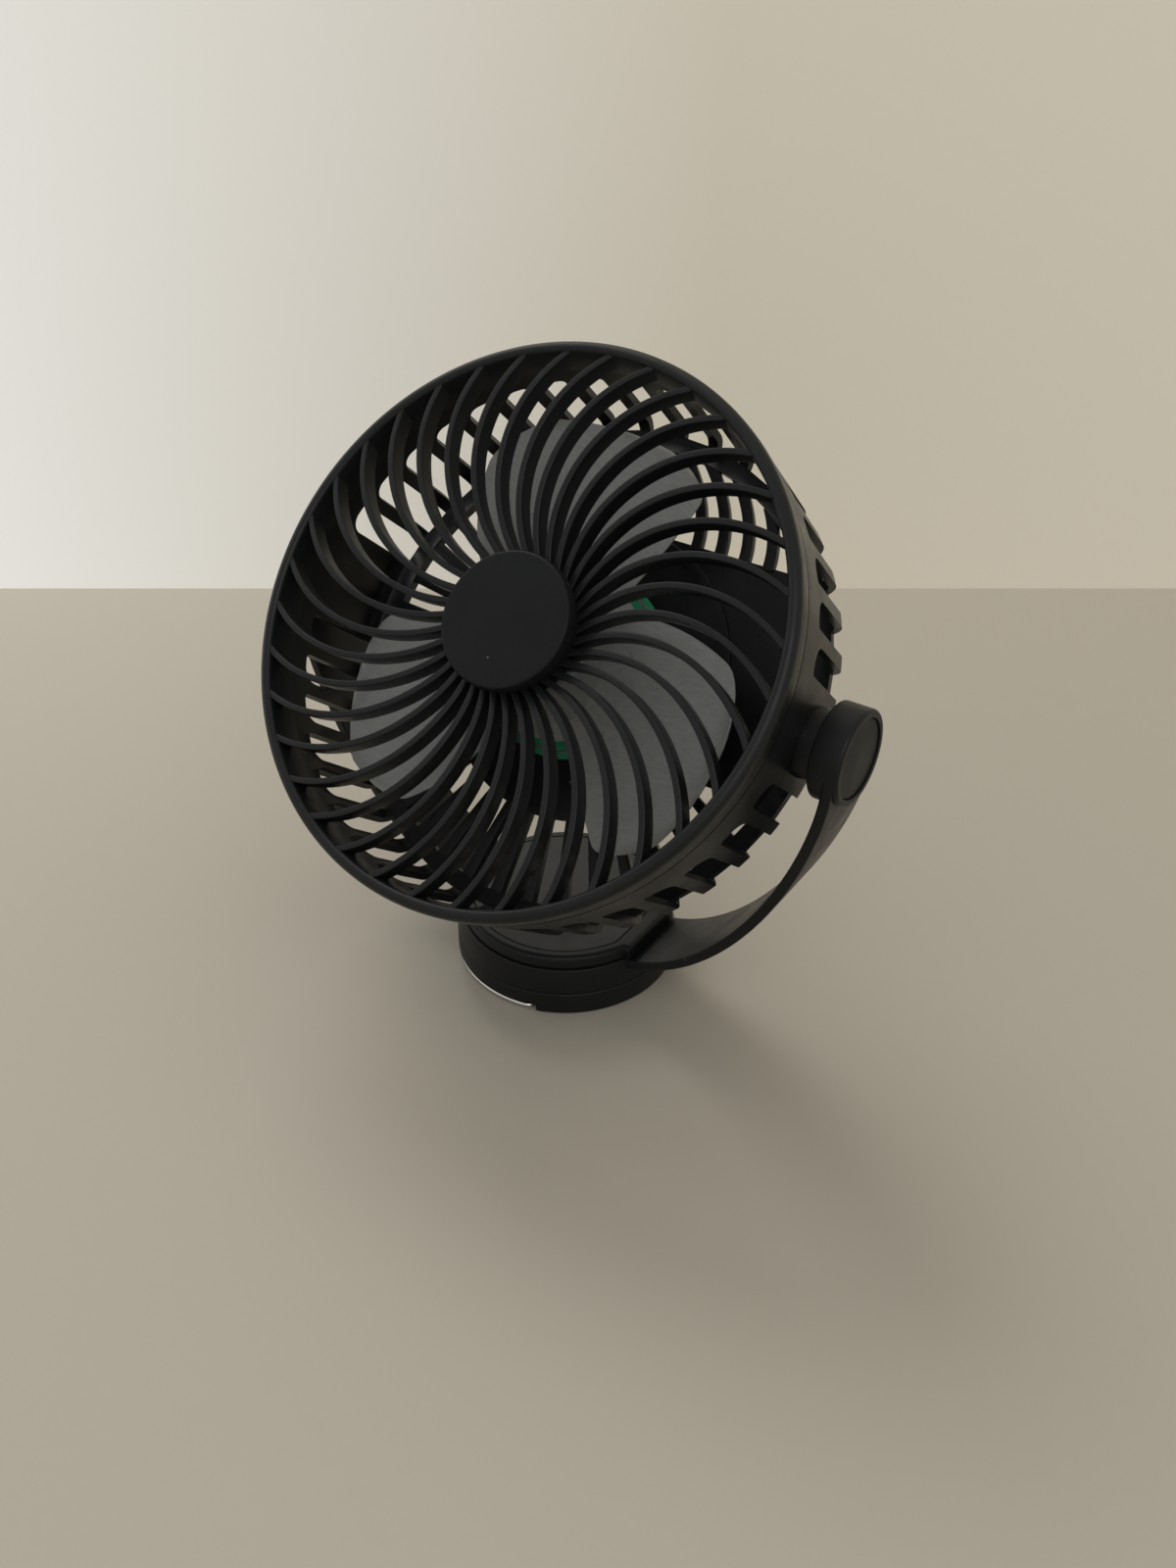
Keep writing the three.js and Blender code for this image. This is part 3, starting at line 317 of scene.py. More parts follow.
def copies_tree():
    """Node tree that sets copies of a piece round the Z axis, except near the X axis."""
    tree = bpy.data.node_groups.new("copies_round_axis", "GeometryNodeTree")
    sockets = [
        ("Geometry", "INPUT", "NodeSocketGeometry"),
        ("Count", "INPUT", "NodeSocketInt"),
        ("First turn", "INPUT", "NodeSocketFloat"),
        ("Kept clear", "INPUT", "NodeSocketFloat"),
        ("Finish", "INPUT", "NodeSocketMaterial"),
        ("Geometry", "OUTPUT", "NodeSocketGeometry"),
    ]
    for name, way, kind in sockets:
        tree.interface.new_socket(name, in_out=way, socket_type=kind)

    def add(kind, **settings):
        node = tree.nodes.new(kind)
        for key, value in settings.items():
            setattr(node, key, value)
        return node

    def math_node(operation, first, second):
        node = add("ShaderNodeMath", operation=operation)
        for socket, value in zip(node.inputs, (first, second)):
            if isinstance(value, (int, float)):
                socket.default_value = value
            elif value is not None:
                tree.links.new(value, socket)
        return node.outputs[0]

    given = add("NodeGroupInput").outputs
    points = add("GeometryNodePoints")
    tree.links.new(given["Count"], points.inputs["Count"])
    index = add("GeometryNodeInputIndex").outputs[0]
    pitch = math_node("DIVIDE", TAU, given["Count"])
    turn = math_node("ADD", math_node("MULTIPLY", index, pitch), given["First turn"])
    height = math_node("ABSOLUTE", math_node("SINE", turn, None), None)
    shown = math_node("GREATER_THAN", height, given["Kept clear"])
    spin = add("ShaderNodeCombineXYZ")
    tree.links.new(turn, spin.inputs["Z"])
    put = add("GeometryNodeInstanceOnPoints")
    tree.links.new(points.outputs[0], put.inputs["Points"])
    tree.links.new(given["Geometry"], put.inputs["Instance"])
    tree.links.new(shown, put.inputs["Selection"])
    tree.links.new(spin.outputs[0], put.inputs["Rotation"])
    real = add("GeometryNodeRealizeInstances")
    tree.links.new(put.outputs[0], real.inputs[0])
    coat = add("GeometryNodeSetMaterial")
    tree.links.new(real.outputs[0], coat.inputs["Geometry"])
    tree.links.new(given["Finish"], coat.inputs["Material"])
    tree.links.new(coat.outputs[0], add("NodeGroupOutput").inputs[0])
    return tree


COPIES = copies_tree()


def copied_round(name, bm, material, count, first_turn=0.0, kept_clear=-1.0):
    """Makes a piece of evenly spaced copies round the head's axis, and puts it in the head."""
    piece = finished(name, bm, material)
    layout = piece.modifiers.new("copies", "NODES")
    layout.node_group = COPIES
    values = {"Count": count, "First turn": first_turn, "Kept clear": kept_clear, "Finish": material}
    for item in COPIES.interface.items_tree:
        if item.in_out == "INPUT" and item.name in values:
            layout[item.identifier] = values[item.name]
    baked_mesh(piece)
    metres = Matrix.Translation(HEAD.to_translation() * MM) @ HEAD.to_3x3().to_4x4()
    piece.data.transform(metres)
    smoothed(piece)
    return piece


# ---- Finishes ----
class Finish:
    """A material with one Principled shader, and short calls for the nodes before it."""

    def __init__(self, name, colour, roughness, **shader_values):
        self.material = bpy.data.materials.new(name)
        self.material.use_nodes = True
        self.tree = self.material.node_tree
        self.shader = self.tree.nodes["Principled BSDF"]
        self.set("Base Color", (*colour, 1))
        self.set("Roughness", roughness)
        for key, value in shader_values.items():
            self.set(key.replace("_", " "), value)
        self.place = self.add("ShaderNodeTexCoord").outputs["Object"]

    def add(self, kind, **settings):
        node = self.tree.nodes.new(kind)
        for key, value in settings.items():
            setattr(node, key, value)
        return node

    def link(self, source, socket):
        self.tree.links.new(source, socket)

    def set(self, name, value):
        self.shader.inputs[name].default_value = value

    def noise(self, size, detail=2.0, stretch=None):
        """Noise whose patches are about size millimetres wide."""
        node = self.add("ShaderNodeTexNoise")
        node.inputs["Scale"].default_value = 1 / (size * MM)
        node.inputs["Detail"].default_value = detail
        where = self.place
        if stretch:
            mapping = self.add("ShaderNodeMapping")
            mapping.inputs["Scale"].default_value = stretch
            self.link(where, mapping.inputs["Vector"])
            where = mapping.outputs[0]
        self.link(where, node.inputs["Vector"])
        return node.outputs["Fac"]

    def ramp(self, value, low, high, dark, light):
        """Maps a value between two limits to a number or a colour between two others."""
        node = self.add("ShaderNodeMapRange")
        self.link(value, node.inputs["Value"])
        for key, number in zip(("From Min", "From Max"), (low, high)):
            node.inputs[key].default_value = number
        if not isinstance(dark, tuple):
            node.inputs["To Min"].default_value = dark
            node.inputs["To Max"].default_value = light
            return node.outputs[0]
        return self.mix(node.outputs[0], (*dark, 1), (*light, 1))

    def mix(self, share, first, second):
        """Blends two colours by a share."""
        node = self.add("ShaderNodeMix", data_type="RGBA")
        self.link(share, node.inputs["Factor"])
        for socket, value in ((node.inputs[6], first), (node.inputs[7], second)):
            if isinstance(value, tuple):
                socket.default_value = value
            else:
                self.link(value, socket)
        return node.outputs[2]

    def bump(self, height, depth, strength=1.0, under=None):
        """Relief whose full height is depth millimetres."""
        node = self.add("ShaderNodeBump")
        node.inputs["Strength"].default_value = strength
        node.inputs["Distance"].default_value = depth * MM
        self.link(height, node.inputs["Height"])
        if under is not None:
            self.link(under, node.inputs["Normal"])
        self.link(node.outputs[0], self.shader.inputs["Normal"])
        return node.outputs[0]

    def dots(self, pitch, size):
        """Sparse round spots, 1 inside a spot and 0 outside."""
        cells = self.add("ShaderNodeTexVoronoi")
        cells.inputs["Scale"].default_value = 1 / (pitch * MM)
        self.link(self.place, cells.inputs["Vector"])
        inside = self.ramp(cells.outputs["Distance"], size / pitch, 0.5 * size / pitch, 0.0, 1.0)
        return inside, cells.outputs["Color"]


def moulded(name, colour, roughness, grain=0.35, relief=0.012, dust=0.0, **shader_values):
    """Injection-moulded plastic: fine spark grain, faint clouding, and a little dust."""
    finish = Finish(name, colour, roughness, **shader_values)
    darker = tuple(c * 0.82 for c in colour)
    lighter = tuple(c * 1.22 for c in colour)
    cloud = finish.noise(22, 3)
    tone = finish.ramp(cloud, 0.3, 0.7, darker, lighter)
    if dust:
        spot, pick = finish.dots(3.1, 0.34)
        chosen = finish.add("ShaderNodeSeparateColor")
        finish.link(pick, chosen.inputs[0])
        few = finish.ramp(chosen.outputs[0], 1 - dust, 1 - dust + 0.01, 0.0, 1.0)
        both = finish.add("ShaderNodeMath", operation="MULTIPLY")
        finish.link(spot, both.inputs[0])
        finish.link(few, both.inputs[1])
        tone = finish.mix(both.outputs[0], tone, (0.35, 0.34, 0.32, 1))
    finish.link(tone, finish.shader.inputs["Base Color"])
    smear = finish.noise(9, 4)
    shine = finish.ramp(smear, 0.25, 0.75, roughness - 0.07, roughness + 0.09)
    finish.link(shine, finish.shader.inputs["Roughness"])
    waves = finish.bump(finish.noise(14, 1), 0.05, 0.35)
    finish.bump(finish.noise(grain, 2), relief, 0.8, under=waves)
    return finish.material


def metal(name, colour, roughness, stretch=(1, 1, 12)):
    """Drawn or plated metal with fine lines and a few dull patches."""
    finish = Finish(name, colour, roughness, Metallic=1.0)
    lines = finish.noise(0.5, 3, stretch)
    shine = finish.ramp(lines, 0.3, 0.7, roughness - 0.06, roughness + 0.1)
    finish.link(shine, finish.shader.inputs["Roughness"])
    patch = finish.ramp(finish.noise(6, 3), 0.35, 0.65, tuple(c * 0.86 for c in colour), colour)
    finish.link(patch, finish.shader.inputs["Base Color"])
    finish.bump(lines, 0.01, 0.6)
    return finish.material


def circuit_green():
    """Solder mask with traces under it."""
    finish = Finish("board_mask", (0.012, 0.16, 0.075), 0.28)
    cells = finish.add("ShaderNodeTexVoronoi", distance="MANHATTAN", feature="F2")
    cells.inputs["Scale"].default_value = 1 / (3.2 * MM)
    finish.link(finish.place, cells.inputs["Vector"])
    trace = finish.ramp(cells.outputs["Distance"], 0.52, 0.56, (0.010, 0.13, 0.06), (0.03, 0.27, 0.13))
    finish.link(trace, finish.shader.inputs["Base Color"])
    finish.bump(cells.outputs["Distance"], 0.03, 0.4)
    return finish.material


def smoky_blade():
    """Grey see-through plastic with faint flow lines."""
    finish = Finish("smoky_plastic", (0.32, 0.325, 0.32), 0.34, Transmission_Weight=0.12, IOR=1.5)
    flow = finish.noise(3.0, 3, (1, 6, 1))
    tone = finish.ramp(flow, 0.3, 0.7, (0.285, 0.292, 0.288), (0.355, 0.360, 0.352))
    finish.link(tone, finish.shader.inputs["Base Color"])
    shine = finish.ramp(finish.noise(7, 3), 0.3, 0.7, 0.27, 0.42)
    finish.link(shine, finish.shader.inputs["Roughness"])
    finish.bump(finish.noise(0.4, 2), 0.008, 0.7)
    return finish.material


SHELL = moulded(
    "shell_plastic", (0.0068, 0.0078, 0.0082), 0.32, dust=0.006, Specular_IOR_Level=0.24
)
YOKE = moulded(
    "yoke_plastic", (0.0058, 0.0067, 0.0070), 0.38, grain=0.3, dust=0.004, Specular_IOR_Level=0.22
)
INLAY = moulded(
    "inlay_plastic", (0.0130, 0.0138, 0.0140), 0.5, grain=0.5, relief=0.02, Specular_IOR_Level=0.25
)
HUB = moulded(
    "hub_plastic", (0.0050, 0.0062, 0.0064), 0.44, grain=0.28, dust=0.014, Specular_IOR_Level=0.16
)
RUBBER = moulded("foot_rubber", (0.007, 0.0075, 0.0075), 0.75, grain=0.6, relief=0.03)
BUTTON = moulded("button_rubber", (0.028, 0.028, 0.03), 0.6, grain=0.25)
STEEL = metal("wire_steel", (0.80, 0.79, 0.77), 0.2)
SCREW = metal("screw_steel", (0.56, 0.57, 0.58), 0.34, (1, 1, 1))
BRASS = metal("bearing_brass", (0.62, 0.45, 0.2), 0.3)
COPPER = metal("coil_copper", (0.55, 0.25, 0.1), 0.36, (1, 1, 8))
BOARD = circuit_green()
BLADE = smoky_blade()
CELL = moulded("cell_wrap", (0.09, 0.18, 0.3), 0.3, grain=4, relief=0.1)
NYLON = moulded("plug_nylon", (0.62, 0.55, 0.3), 0.45)
MAGNET = moulded("magnet_black", (0.03, 0.03, 0.032), 0.38)
LENS = moulded("lens_frosted", (0.6, 0.62, 0.63), 0.35, Transmission_Weight=0.3)
SOLDER = metal("solder_tin", (0.72, 0.73, 0.74), 0.22, (1, 1, 1))


# ---- Base and hook ----
def base_shell():
    """The base, with a recess for the hook round its lower edge and a bore for each end of the wire."""
    bm = bmesh.new()
    bottom, top = 0.3, BASE_SEAM_Z - GAP / 2
    profile = [(0, 1.9), (29, 1.9), (29, bottom)]
    profile += arc(BASE_RADIUS - 0.7, bottom + 0.7, 0.7, -math.pi / 2, 0, 4)
    profile += arc(BASE_RADIUS - 0.5, top - 0.5, 0.5, 0, math.pi / 2, 4)
    profile += [(5, top), (5, top + 2.1), (2.3, top + 2.1), (2.3, 4.1), (0, 4.1)]
    revolve(bm, profile, 192)
    shell = finished("base_shell_fine", bm, YOKE)
    inner = BASE_RADIUS - 2 * HOOK_WIRE_RADIUS - GAP
    spare = 0.032
    start, end = HOOK_AXIS_ANGLE - math.pi - spare, HOOK_AXIS_ANGLE + spare
    top_z = HOOK_Z + HOOK_WIRE_RADIUS + GAP
    rebate = bmesh.new()
    sections = []
    for i in range(97):
        t = start + (end - start) * i / 96
        across = Vector((math.cos(t), math.sin(t), 0))
        corners = [(inner, -1), (BASE_RADIUS + 1, -1), (BASE_RADIUS + 1, top_z), (inner, top_z)]
        sections.append([across * r + Vector((0, 0, z)) for r, z in corners])
    loft(rebate, sections)
    cutters = [finished("rebate", rebate, YOKE)]
    for turn in (0, math.pi):
        bore = bmesh.new()
        along = (
            Matrix.Translation((0, 0, HOOK_Z))
            @ Matrix.Rotation(HOOK_AXIS_ANGLE + turn, 4, "Z")
            @ ALONG_X
        )
        mouth = BASE_RADIUS - 2 * HOOK_WIRE_RADIUS - HOOK_BEND
        narrow, wide = HOOK_WIRE_RADIUS + GAP, HOOK_BEND + GAP
        profile = [(0, 30), (narrow, 30), (narrow, mouth), (wide, mouth)]
        profile += [(wide, BASE_RADIUS + 1), (0, BASE_RADIUS + 1)]
        revolve(bore, profile, 32, along)
        cutters.append(finished("bore", bore, YOKE))
    carve(shell, *cutters)
    return shell


def hook_wire():
    """The wire: half a turn round the base, with both ends bent inwards."""
    radius = BASE_RADIUS - HOOK_WIRE_RADIUS
    middle = HOOK_AXIS_ANGLE - math.pi / 2
    bend = HOOK_BEND / radius

    def at(r, t):
        return Vector((r * math.cos(t), r * math.sin(t), HOOK_Z))

    path = []
    for side in (1, -1):
        axis = middle + side * math.pi / 2
        start, corner = at(radius - HOOK_BEND, axis), at(radius, axis)
        end = at(radius, axis - side * bend)
        part = [at(HOOK_END_RADIUS, axis)]
        for i in range(7):
            s = i / 6
            part.append(start * (1 - s) ** 2 + corner * 2 * s * (1 - s) + end * s * s)
        turns = [axis - side * (bend + (math.pi / 2 - bend) * i / 40) for i in range(1, 41)]
        part += [at(radius, t) for t in turns]
        path.append(part)
    points = path[0] + path[1][-2::-1]
    bm = bmesh.new()
    sections = []
    up = Vector((0, 0, 1))
    for i, point in enumerate(points):
        ahead = (points[min(i + 1, len(points) - 1)] - points[max(i - 1, 0)]).normalized()
        side = up.cross(ahead)
        ring = arc(0, 0, HOOK_WIRE_RADIUS, 0, TAU * 15 / 16, 15)
        sections.append([point + side * a + up * b for a, b in ring])
    loft(bm, sections)
    return finished("hook_wire_fine", bm, STEEL)


def foot_pad():
    """The rubber pad, with one fine groove near its edge."""
    bm = bmesh.new()
    groove = [(3, 0), (2.7, 0.3), (2.1, 0.3), (1.8, 0)]
    profile = [(0, 0)] + [(FOOT_RADIUS - inwards, z) for inwards, z in groove]
    profile += arc(FOOT_RADIUS - 0.4, 0.4, 0.4, -math.pi / 2, 0, 3)
    profile += [(FOOT_RADIUS, FOOT_THICKNESS), (0, FOOT_THICKNESS)]
    revolve(bm, profile, 128)
    return finished("foot_pad_fine", bm, RUBBER)


# ---- Yoke ----
def ring_radius(z):
    """Radius of the yoke's slightly tapered ring at a height."""
    up = (z - BASE_SEAM_Z) / (RING_TOP_Z - BASE_SEAM_Z)
    return BASE_RADIUS + (RING_TOP_RADIUS - BASE_RADIUS) * up


def radial(turn, z):
    """Place of a thing made along +Z that faces out of the ring's wall."""
    return (
        Matrix.Translation((0, 0, z))
        @ Matrix.Rotation(turn, 4, "Z")
        @ ALONG_X
        @ Matrix.Rotation(math.pi / 2, 4, "Z")
    )


def through_wall(width, height, corner, turn):
    """Cutter for an opening through the ring's wall."""
    bm = bmesh.new()
    loop = rounded_box(width, height, corner)
    loft(bm, [[Vector((x, y, z)) for x, y in loop] for z in (25, 42)], radial(turn, CONTROL_Z))
    return finished("wall_cut", bm, YOKE)


def arm(bm, place):
    """The bent strip between the ring and the boss."""
    root = Vector(ARM_ROOT)
    ahead = Vector((math.cos(ARM_SLOPE), 0, math.sin(ARM_SLOPE)))
    top = Vector((ARM_MIDDLE_X, 0, PIVOT_Z))
    below_top = Vector((ARM_MIDDLE_X, 0, PIVOT_Z - ARM_TOP_PULL))
    handles = [root, root + ahead * ARM_ROOT_PULL, below_top, top]
    sections = []
    for i in range(-1, 49):
        s = max(i, 0) / 48
        weights = [(1 - s) ** 3, 3 * s * (1 - s) ** 2, 3 * s * s * (1 - s), s**3]
        point = sum((h * w for h, w in zip(handles, weights)), Vector())
        slopes = [-3 * (1 - s) ** 2, 3 * (1 - s) * (1 - 3 * s), 3 * s * (2 - 3 * s), 3 * s * s]
        tangent = sum((h * w for h, w in zip(handles, slopes)), Vector()).normalized()
        if i < 0:
            point = root - ahead * 3
        normal = Vector((-tangent.z, 0, tangent.x))
        blend = max(0, (point.z - ARM_WIDENS_FROM_Z) / (PIVOT_Z - ARM_WIDENS_FROM_Z))
        width = ARM_WIDTH + (2 * BOSS_RADIUS - ARM_WIDTH) * blend * blend
        loop = rounded_box(width, ARM_THICKNESS, 0.55, 3)
        sections.append([point + Vector((0, a, 0)) + normal * b for a, b in loop])
    loft(bm, sections, place)


def boss(bm, place):
    """The round end of an arm, along +Z from its inner to its outer face, with a seat for its cap."""
    inner, outer = BOSS_INNER_X, BOSS_OUTER_X
    seat = outer - CAP_SUNK - CAP_THICKNESS - GAP
    around_cap = CAP_RADIUS + 0.22
    start = (BOSS_BORE_RADIUS, inner)
    profile = [start] + arc(BOSS_RADIUS - 0.6, inner + 0.6, 0.6, -math.pi / 2, 0, 4)
    profile += arc(BOSS_RADIUS - 1.1, outer - 1.1, 1.1, 0, math.pi / 2, 6)
    profile += [(CAP_RADIUS + 0.45, outer), (around_cap, outer - 0.25), (around_cap, seat)]
    profile += [(BOSS_BORE_RADIUS, seat), start]
    revolve(bm, profile, 96, place @ PIVOT)


def yoke_moulding():
    """The ring, with openings for the button, the charging inlet and its light, and the two arms."""
    bm = bmesh.new()
    low = BASE_SEAM_Z + GAP / 2
    profile = [(5.3, low)]
    profile += arc(BASE_RADIUS - 0.4, low + 0.4, 0.4, -math.pi / 2, 0, 3)
    profile += arc(RING_TOP_RADIUS - 0.5, RING_TOP_Z - 0.5, 0.5, 0, math.pi / 2, 4)
    profile += [(RING_INNER_RADIUS, RING_TOP_Z), (RING_INNER_RADIUS, low + 2), (5.3, low + 2), (5.3, low)]
    revolve(bm, profile, 192)
    ring = finished("yoke_ring_fine", bm, YOKE)
    carve(ring, *[through_wall(*opening) for opening in WALL_OPENINGS])
    bm = bmesh.new()
    for side in (STILL, LEFT_SIDE):
        arm(bm, side)
        boss(bm, side)
    arms = finished("yoke_arms_fine", bm, YOKE)
    return ring, arms


def cover_outline(inset):
    """Outline of the cover, drawn in by an inset: a circle with two flat-ended wings."""
    loop = []
    for i in range(OUTLINE_STEPS):
        t = TAU * i / OUTLINE_STEPS
        c, s = abs(math.cos(t)), abs(math.sin(t))
        to_flat = (COVER_FLAT_X - inset) / max(c, 1e-6)
        to_side = (COVER_FLAT_HALF - inset) / max(s, 1e-6)
        r = max(min(COVER_RADIUS - inset, to_flat), min(to_flat, to_side))
        loop.append((r * math.cos(t), r * math.sin(t)))
    return loop


def flat_sided(radius, flat, inset=0.0):
    """Outline of a disc with two flats."""
    loop = []
    for i in range(OUTLINE_STEPS):
        t = TAU * i / OUTLINE_STEPS
        r = min(radius - inset, (flat - inset) / max(abs(math.cos(t)), 1e-6))
        loop.append((r * math.cos(t), r * math.sin(t)))
    return loop


def stacked(bm, levels):
    """Adds a body through level outlines, each a loop of (x, y) and a height."""
    loft(bm, [[Vector((x, y, z)) for x, y in loop] for loop, z in levels])


def ring_cover():
    """The cover of the ring, with a rounded edge and a shallow seat for its inlay."""
    bm = bmesh.new()
    low = RING_TOP_Z + GAP
    rounding = 1.6
    levels = [(cover_outline(0.3), low), (cover_outline(0), low + 0.3)]
    for i in range(7):
        t = math.pi / 2 * i / 6
        inset, drop = rounding * (1 - math.cos(t)), rounding * (1 - math.sin(t))
        levels.append((cover_outline(inset), COVER_TOP_Z - drop))
    levels.append((flat_sided(INLAY_RADIUS + 0.45, INLAY_FLAT_X + 0.45), COVER_TOP_Z))
    levels.append((flat_sided(INLAY_RADIUS + 0.2, INLAY_FLAT_X + 0.2), COVER_TOP_Z - 0.25))
    levels.append((flat_sided(INLAY_RADIUS + 0.2, INLAY_FLAT_X + 0.2), COVER_TOP_Z - 0.9))
    stacked(bm, levels)
    return finished("ring_cover_fine", bm, YOKE)


def cover_inlay():
    """The thin plate let into the cover."""
    bm = bmesh.new()
    low = COVER_TOP_Z - 0.75
    levels = [(flat_sided(INLAY_RADIUS, INLAY_FLAT_X), low)]
    levels.append((flat_sided(INLAY_RADIUS, INLAY_FLAT_X), COVER_TOP_Z - 0.2))
    levels.append((flat_sided(INLAY_RADIUS, INLAY_FLAT_X, 0.2), COVER_TOP_Z))
    stacked(bm, levels)
    return finished("cover_inlay_fine", bm, INLAY)


def boss_cap(name, side):
    """The round cap over a pivot screw."""
    bm = bmesh.new()
    face = BOSS_OUTER_X - CAP_SUNK
    profile = [(0, face - CAP_THICKNESS), (CAP_RADIUS, face - CAP_THICKNESS)]
    profile += arc(CAP_RADIUS - 0.25, face - 0.25, 0.25, 0, math.pi / 2, 3) + [(0, face)]
    revolve(bm, profile, 96, side @ PIVOT)
    return finished(name, bm, INLAY)


def power_button():
    """The soft button, which stands out of the ring's wall."""
    bm = bmesh.new()
    face = ring_radius(CONTROL_Z) + BUTTON_OUT
    levels = [(29.8, 0.0), (face - 0.5, 0.0), (face - 0.2, 0.15), (face, 0.5)]
    sections = []
    for z, inset in levels:
        loop = rounded_box(BUTTON_WIDTH - 2 * inset, BUTTON_HEIGHT - 2 * inset, 1.3 - inset)
        sections.append([Vector((x, y, z)) for x, y in loop])
    loft(bm, sections, radial(rad(90), CONTROL_Z))
    return finished("power_button_fine", bm, BUTTON)


# ---- Front grille ----
def front_ring():
    """The rim of the grille, with a skirt that goes into the rear housing."""
    bm = bmesh.new()
    skirt = HEAD_RADIUS - WALL - GAP
    seam = SEAM_FORWARD + GAP / 2
    lip = 2.4
    skirt_inner, skirt_back = skirt - 1.6, 23.95
    profile = [(skirt_inner, skirt_back), (skirt, skirt_back), (skirt, seam)]
    profile += [(HEAD_RADIUS - 0.25, seam), (HEAD_RADIUS, seam + 0.25), (RIM_RADIUS, RIM_FORWARD - 2.0)]
    profile += arc(RIM_RADIUS - lip, RIM_FORWARD, lip, 0, math.pi / 2, 10)
    profile += [(80.0, 34.95), (79.5, 34.5), (79.2, 33.9), (FRONT_OPENING, 29.2)]
    profile += [(skirt_inner, 26.3), (skirt_inner, skirt_back)]
    revolve(bm, profile, 256)
    return finished("front_ring_fine", bm, SHELL, HEAD)


def rib_front(radius):
    """Height of a front rib's outer edge: it rises from the hub to a crown and falls to the rim."""
    crown, inward = FRONT_RIB_CROWN_RADIUS, radius < FRONT_RIB_CROWN_RADIUS
    span = crown - HUB_RADIUS if inward else FRONT_OPENING - crown
    away = min(abs(radius - crown) / span, 1)
    foot = FRONT_RIB_HUB_Z if inward else FRONT_RIB_RIM_Z
    return FRONT_RIB_CROWN_Z - (FRONT_RIB_CROWN_Z - foot) * away * away


def front_rib_angle(radius):
    """Turn of a front rib, which is part of a circle, at a radius."""
    d = FRONT_RIB_CENTRE
    return math.acos((radius * radius + d * d - FRONT_RIB_ARC**2) / (2 * radius * d))


def standing_rib(bm, rows, angle_at):
    """Adds a rib that follows angle_at(radius). A row is a loop of (radius, offset, height)."""
    def spot(radius, offset, height):
        turn = angle_at(radius)
        here = Vector((math.cos(turn), math.sin(turn), 0)) * radius
        ahead_turn = angle_at(radius + 0.1)
        ahead = Vector((math.cos(ahead_turn), math.sin(ahead_turn), 0)) * (radius + 0.1) - here
        side = Vector((-ahead.y, ahead.x, 0)).normalized()
        return here + side * offset + Vector((0, 0, height))

    loft(bm, [[spot(*point) for point in row] for row in rows])


def front_ribs():
    """The swirl of curved ribs between hub and rim."""
    bm = bmesh.new()
    rim_angle = front_rib_angle(FRONT_OPENING)
    rows = []
    steps = 34
    for i in range(steps + 1):
        r = HUB_RADIUS - 2.4 + (FRONT_OPENING + 1.2 - HUB_RADIUS + 2.4) * i / steps
        top = rib_front(r)
        half = FRONT_RIB_WIDTH / 2
        soft = 0.42
        low = top - FRONT_RIB_DEPTH
        loop = [(-half + 0.2, low), (half - 0.2, low)]
        loop += arc(half - soft, top - soft, soft, 0, math.pi / 2, 4)
        loop += arc(-half + soft, top - soft, soft, math.pi / 2, math.pi, 4)
        rows.append([(r, x, z) for x, z in loop])
    standing_rib(bm, rows, lambda r: front_rib_angle(r) - rim_angle)
    return copied_round("front_ribs_fine", bm, SHELL, FRONT_RIBS, FRONT_RIB_PHASE)


def front_hub():
    """The ring under the hub cap, where the ribs meet."""
    bm = bmesh.new()
    washer(bm, 9.3, HUB_RADIUS - 1.4, HUB_SEAT_Z, 33.4, 96)
    return finished("front_hub_fine", bm, SHELL, HEAD)


def hub_cap():
    """The round cap in the middle of the grille, a little hollow in front."""
    bm = bmesh.new()
    low = HUB_FORWARD - 4.6
    profile = [(0, HUB_SEAT_Z), (9, HUB_SEAT_Z), (9, low), (HUB_RADIUS - 0.7, low)]
    profile += arc(HUB_RADIUS - 0.5, low + 0.5, 0.5, -math.pi / 2, 0, 3)
    profile += [(HUB_RADIUS, HUB_FORWARD - 1.0)]
    profile += arc(HUB_RADIUS - 0.9, HUB_FORWARD - 0.75, 0.75, 0, math.pi / 2, 5)
    profile += [(HUB_RADIUS - 1.5, HUB_FORWARD), (12, HUB_FORWARD - 0.06), (0, HUB_FORWARD - 0.1)]
    revolve(bm, profile, 160)
    return finished("hub_cap_fine", bm, HUB, HEAD)


# ---- Rear housing ----
def side_radius(z):
    """Radius of the tapered side at a height along the axis."""
    return HEAD_RADIUS - (SEAM_FORWARD - z) * math.tan(WALL_TAPER)


SHOULDER_Z = REAR_FACE + SHOULDER
SHOULDER_R = side_radius(SHOULDER_Z) - SHOULDER / math.cos(WALL_TAPER)


def shoulder_line(radius, depth):
    """The shoulder's line at a depth below its surface, from a radius on the back to the side."""
    bend = SHOULDER - depth
    rear = -math.acos(max(0.0, radius - SHOULDER_R) / bend)
    return arc(SHOULDER_R, SHOULDER_Z, bend, rear, -WALL_TAPER, 12)


def slot_cutters(name, outline, inner):
    """Copies of a cutter between the bars of the side, from a radius outwards, clear of the trunnions."""
    bm = bmesh.new()
    loft(bm, [[Vector((r, across, z)) for across, z in outline] for r in (inner, 90)])
    half_pitch = math.pi / REAR_RIBS
    return copied_round(name, bm, SHELL, REAR_RIBS, half_pitch, math.sin(PAD_HALF_ANGLE))


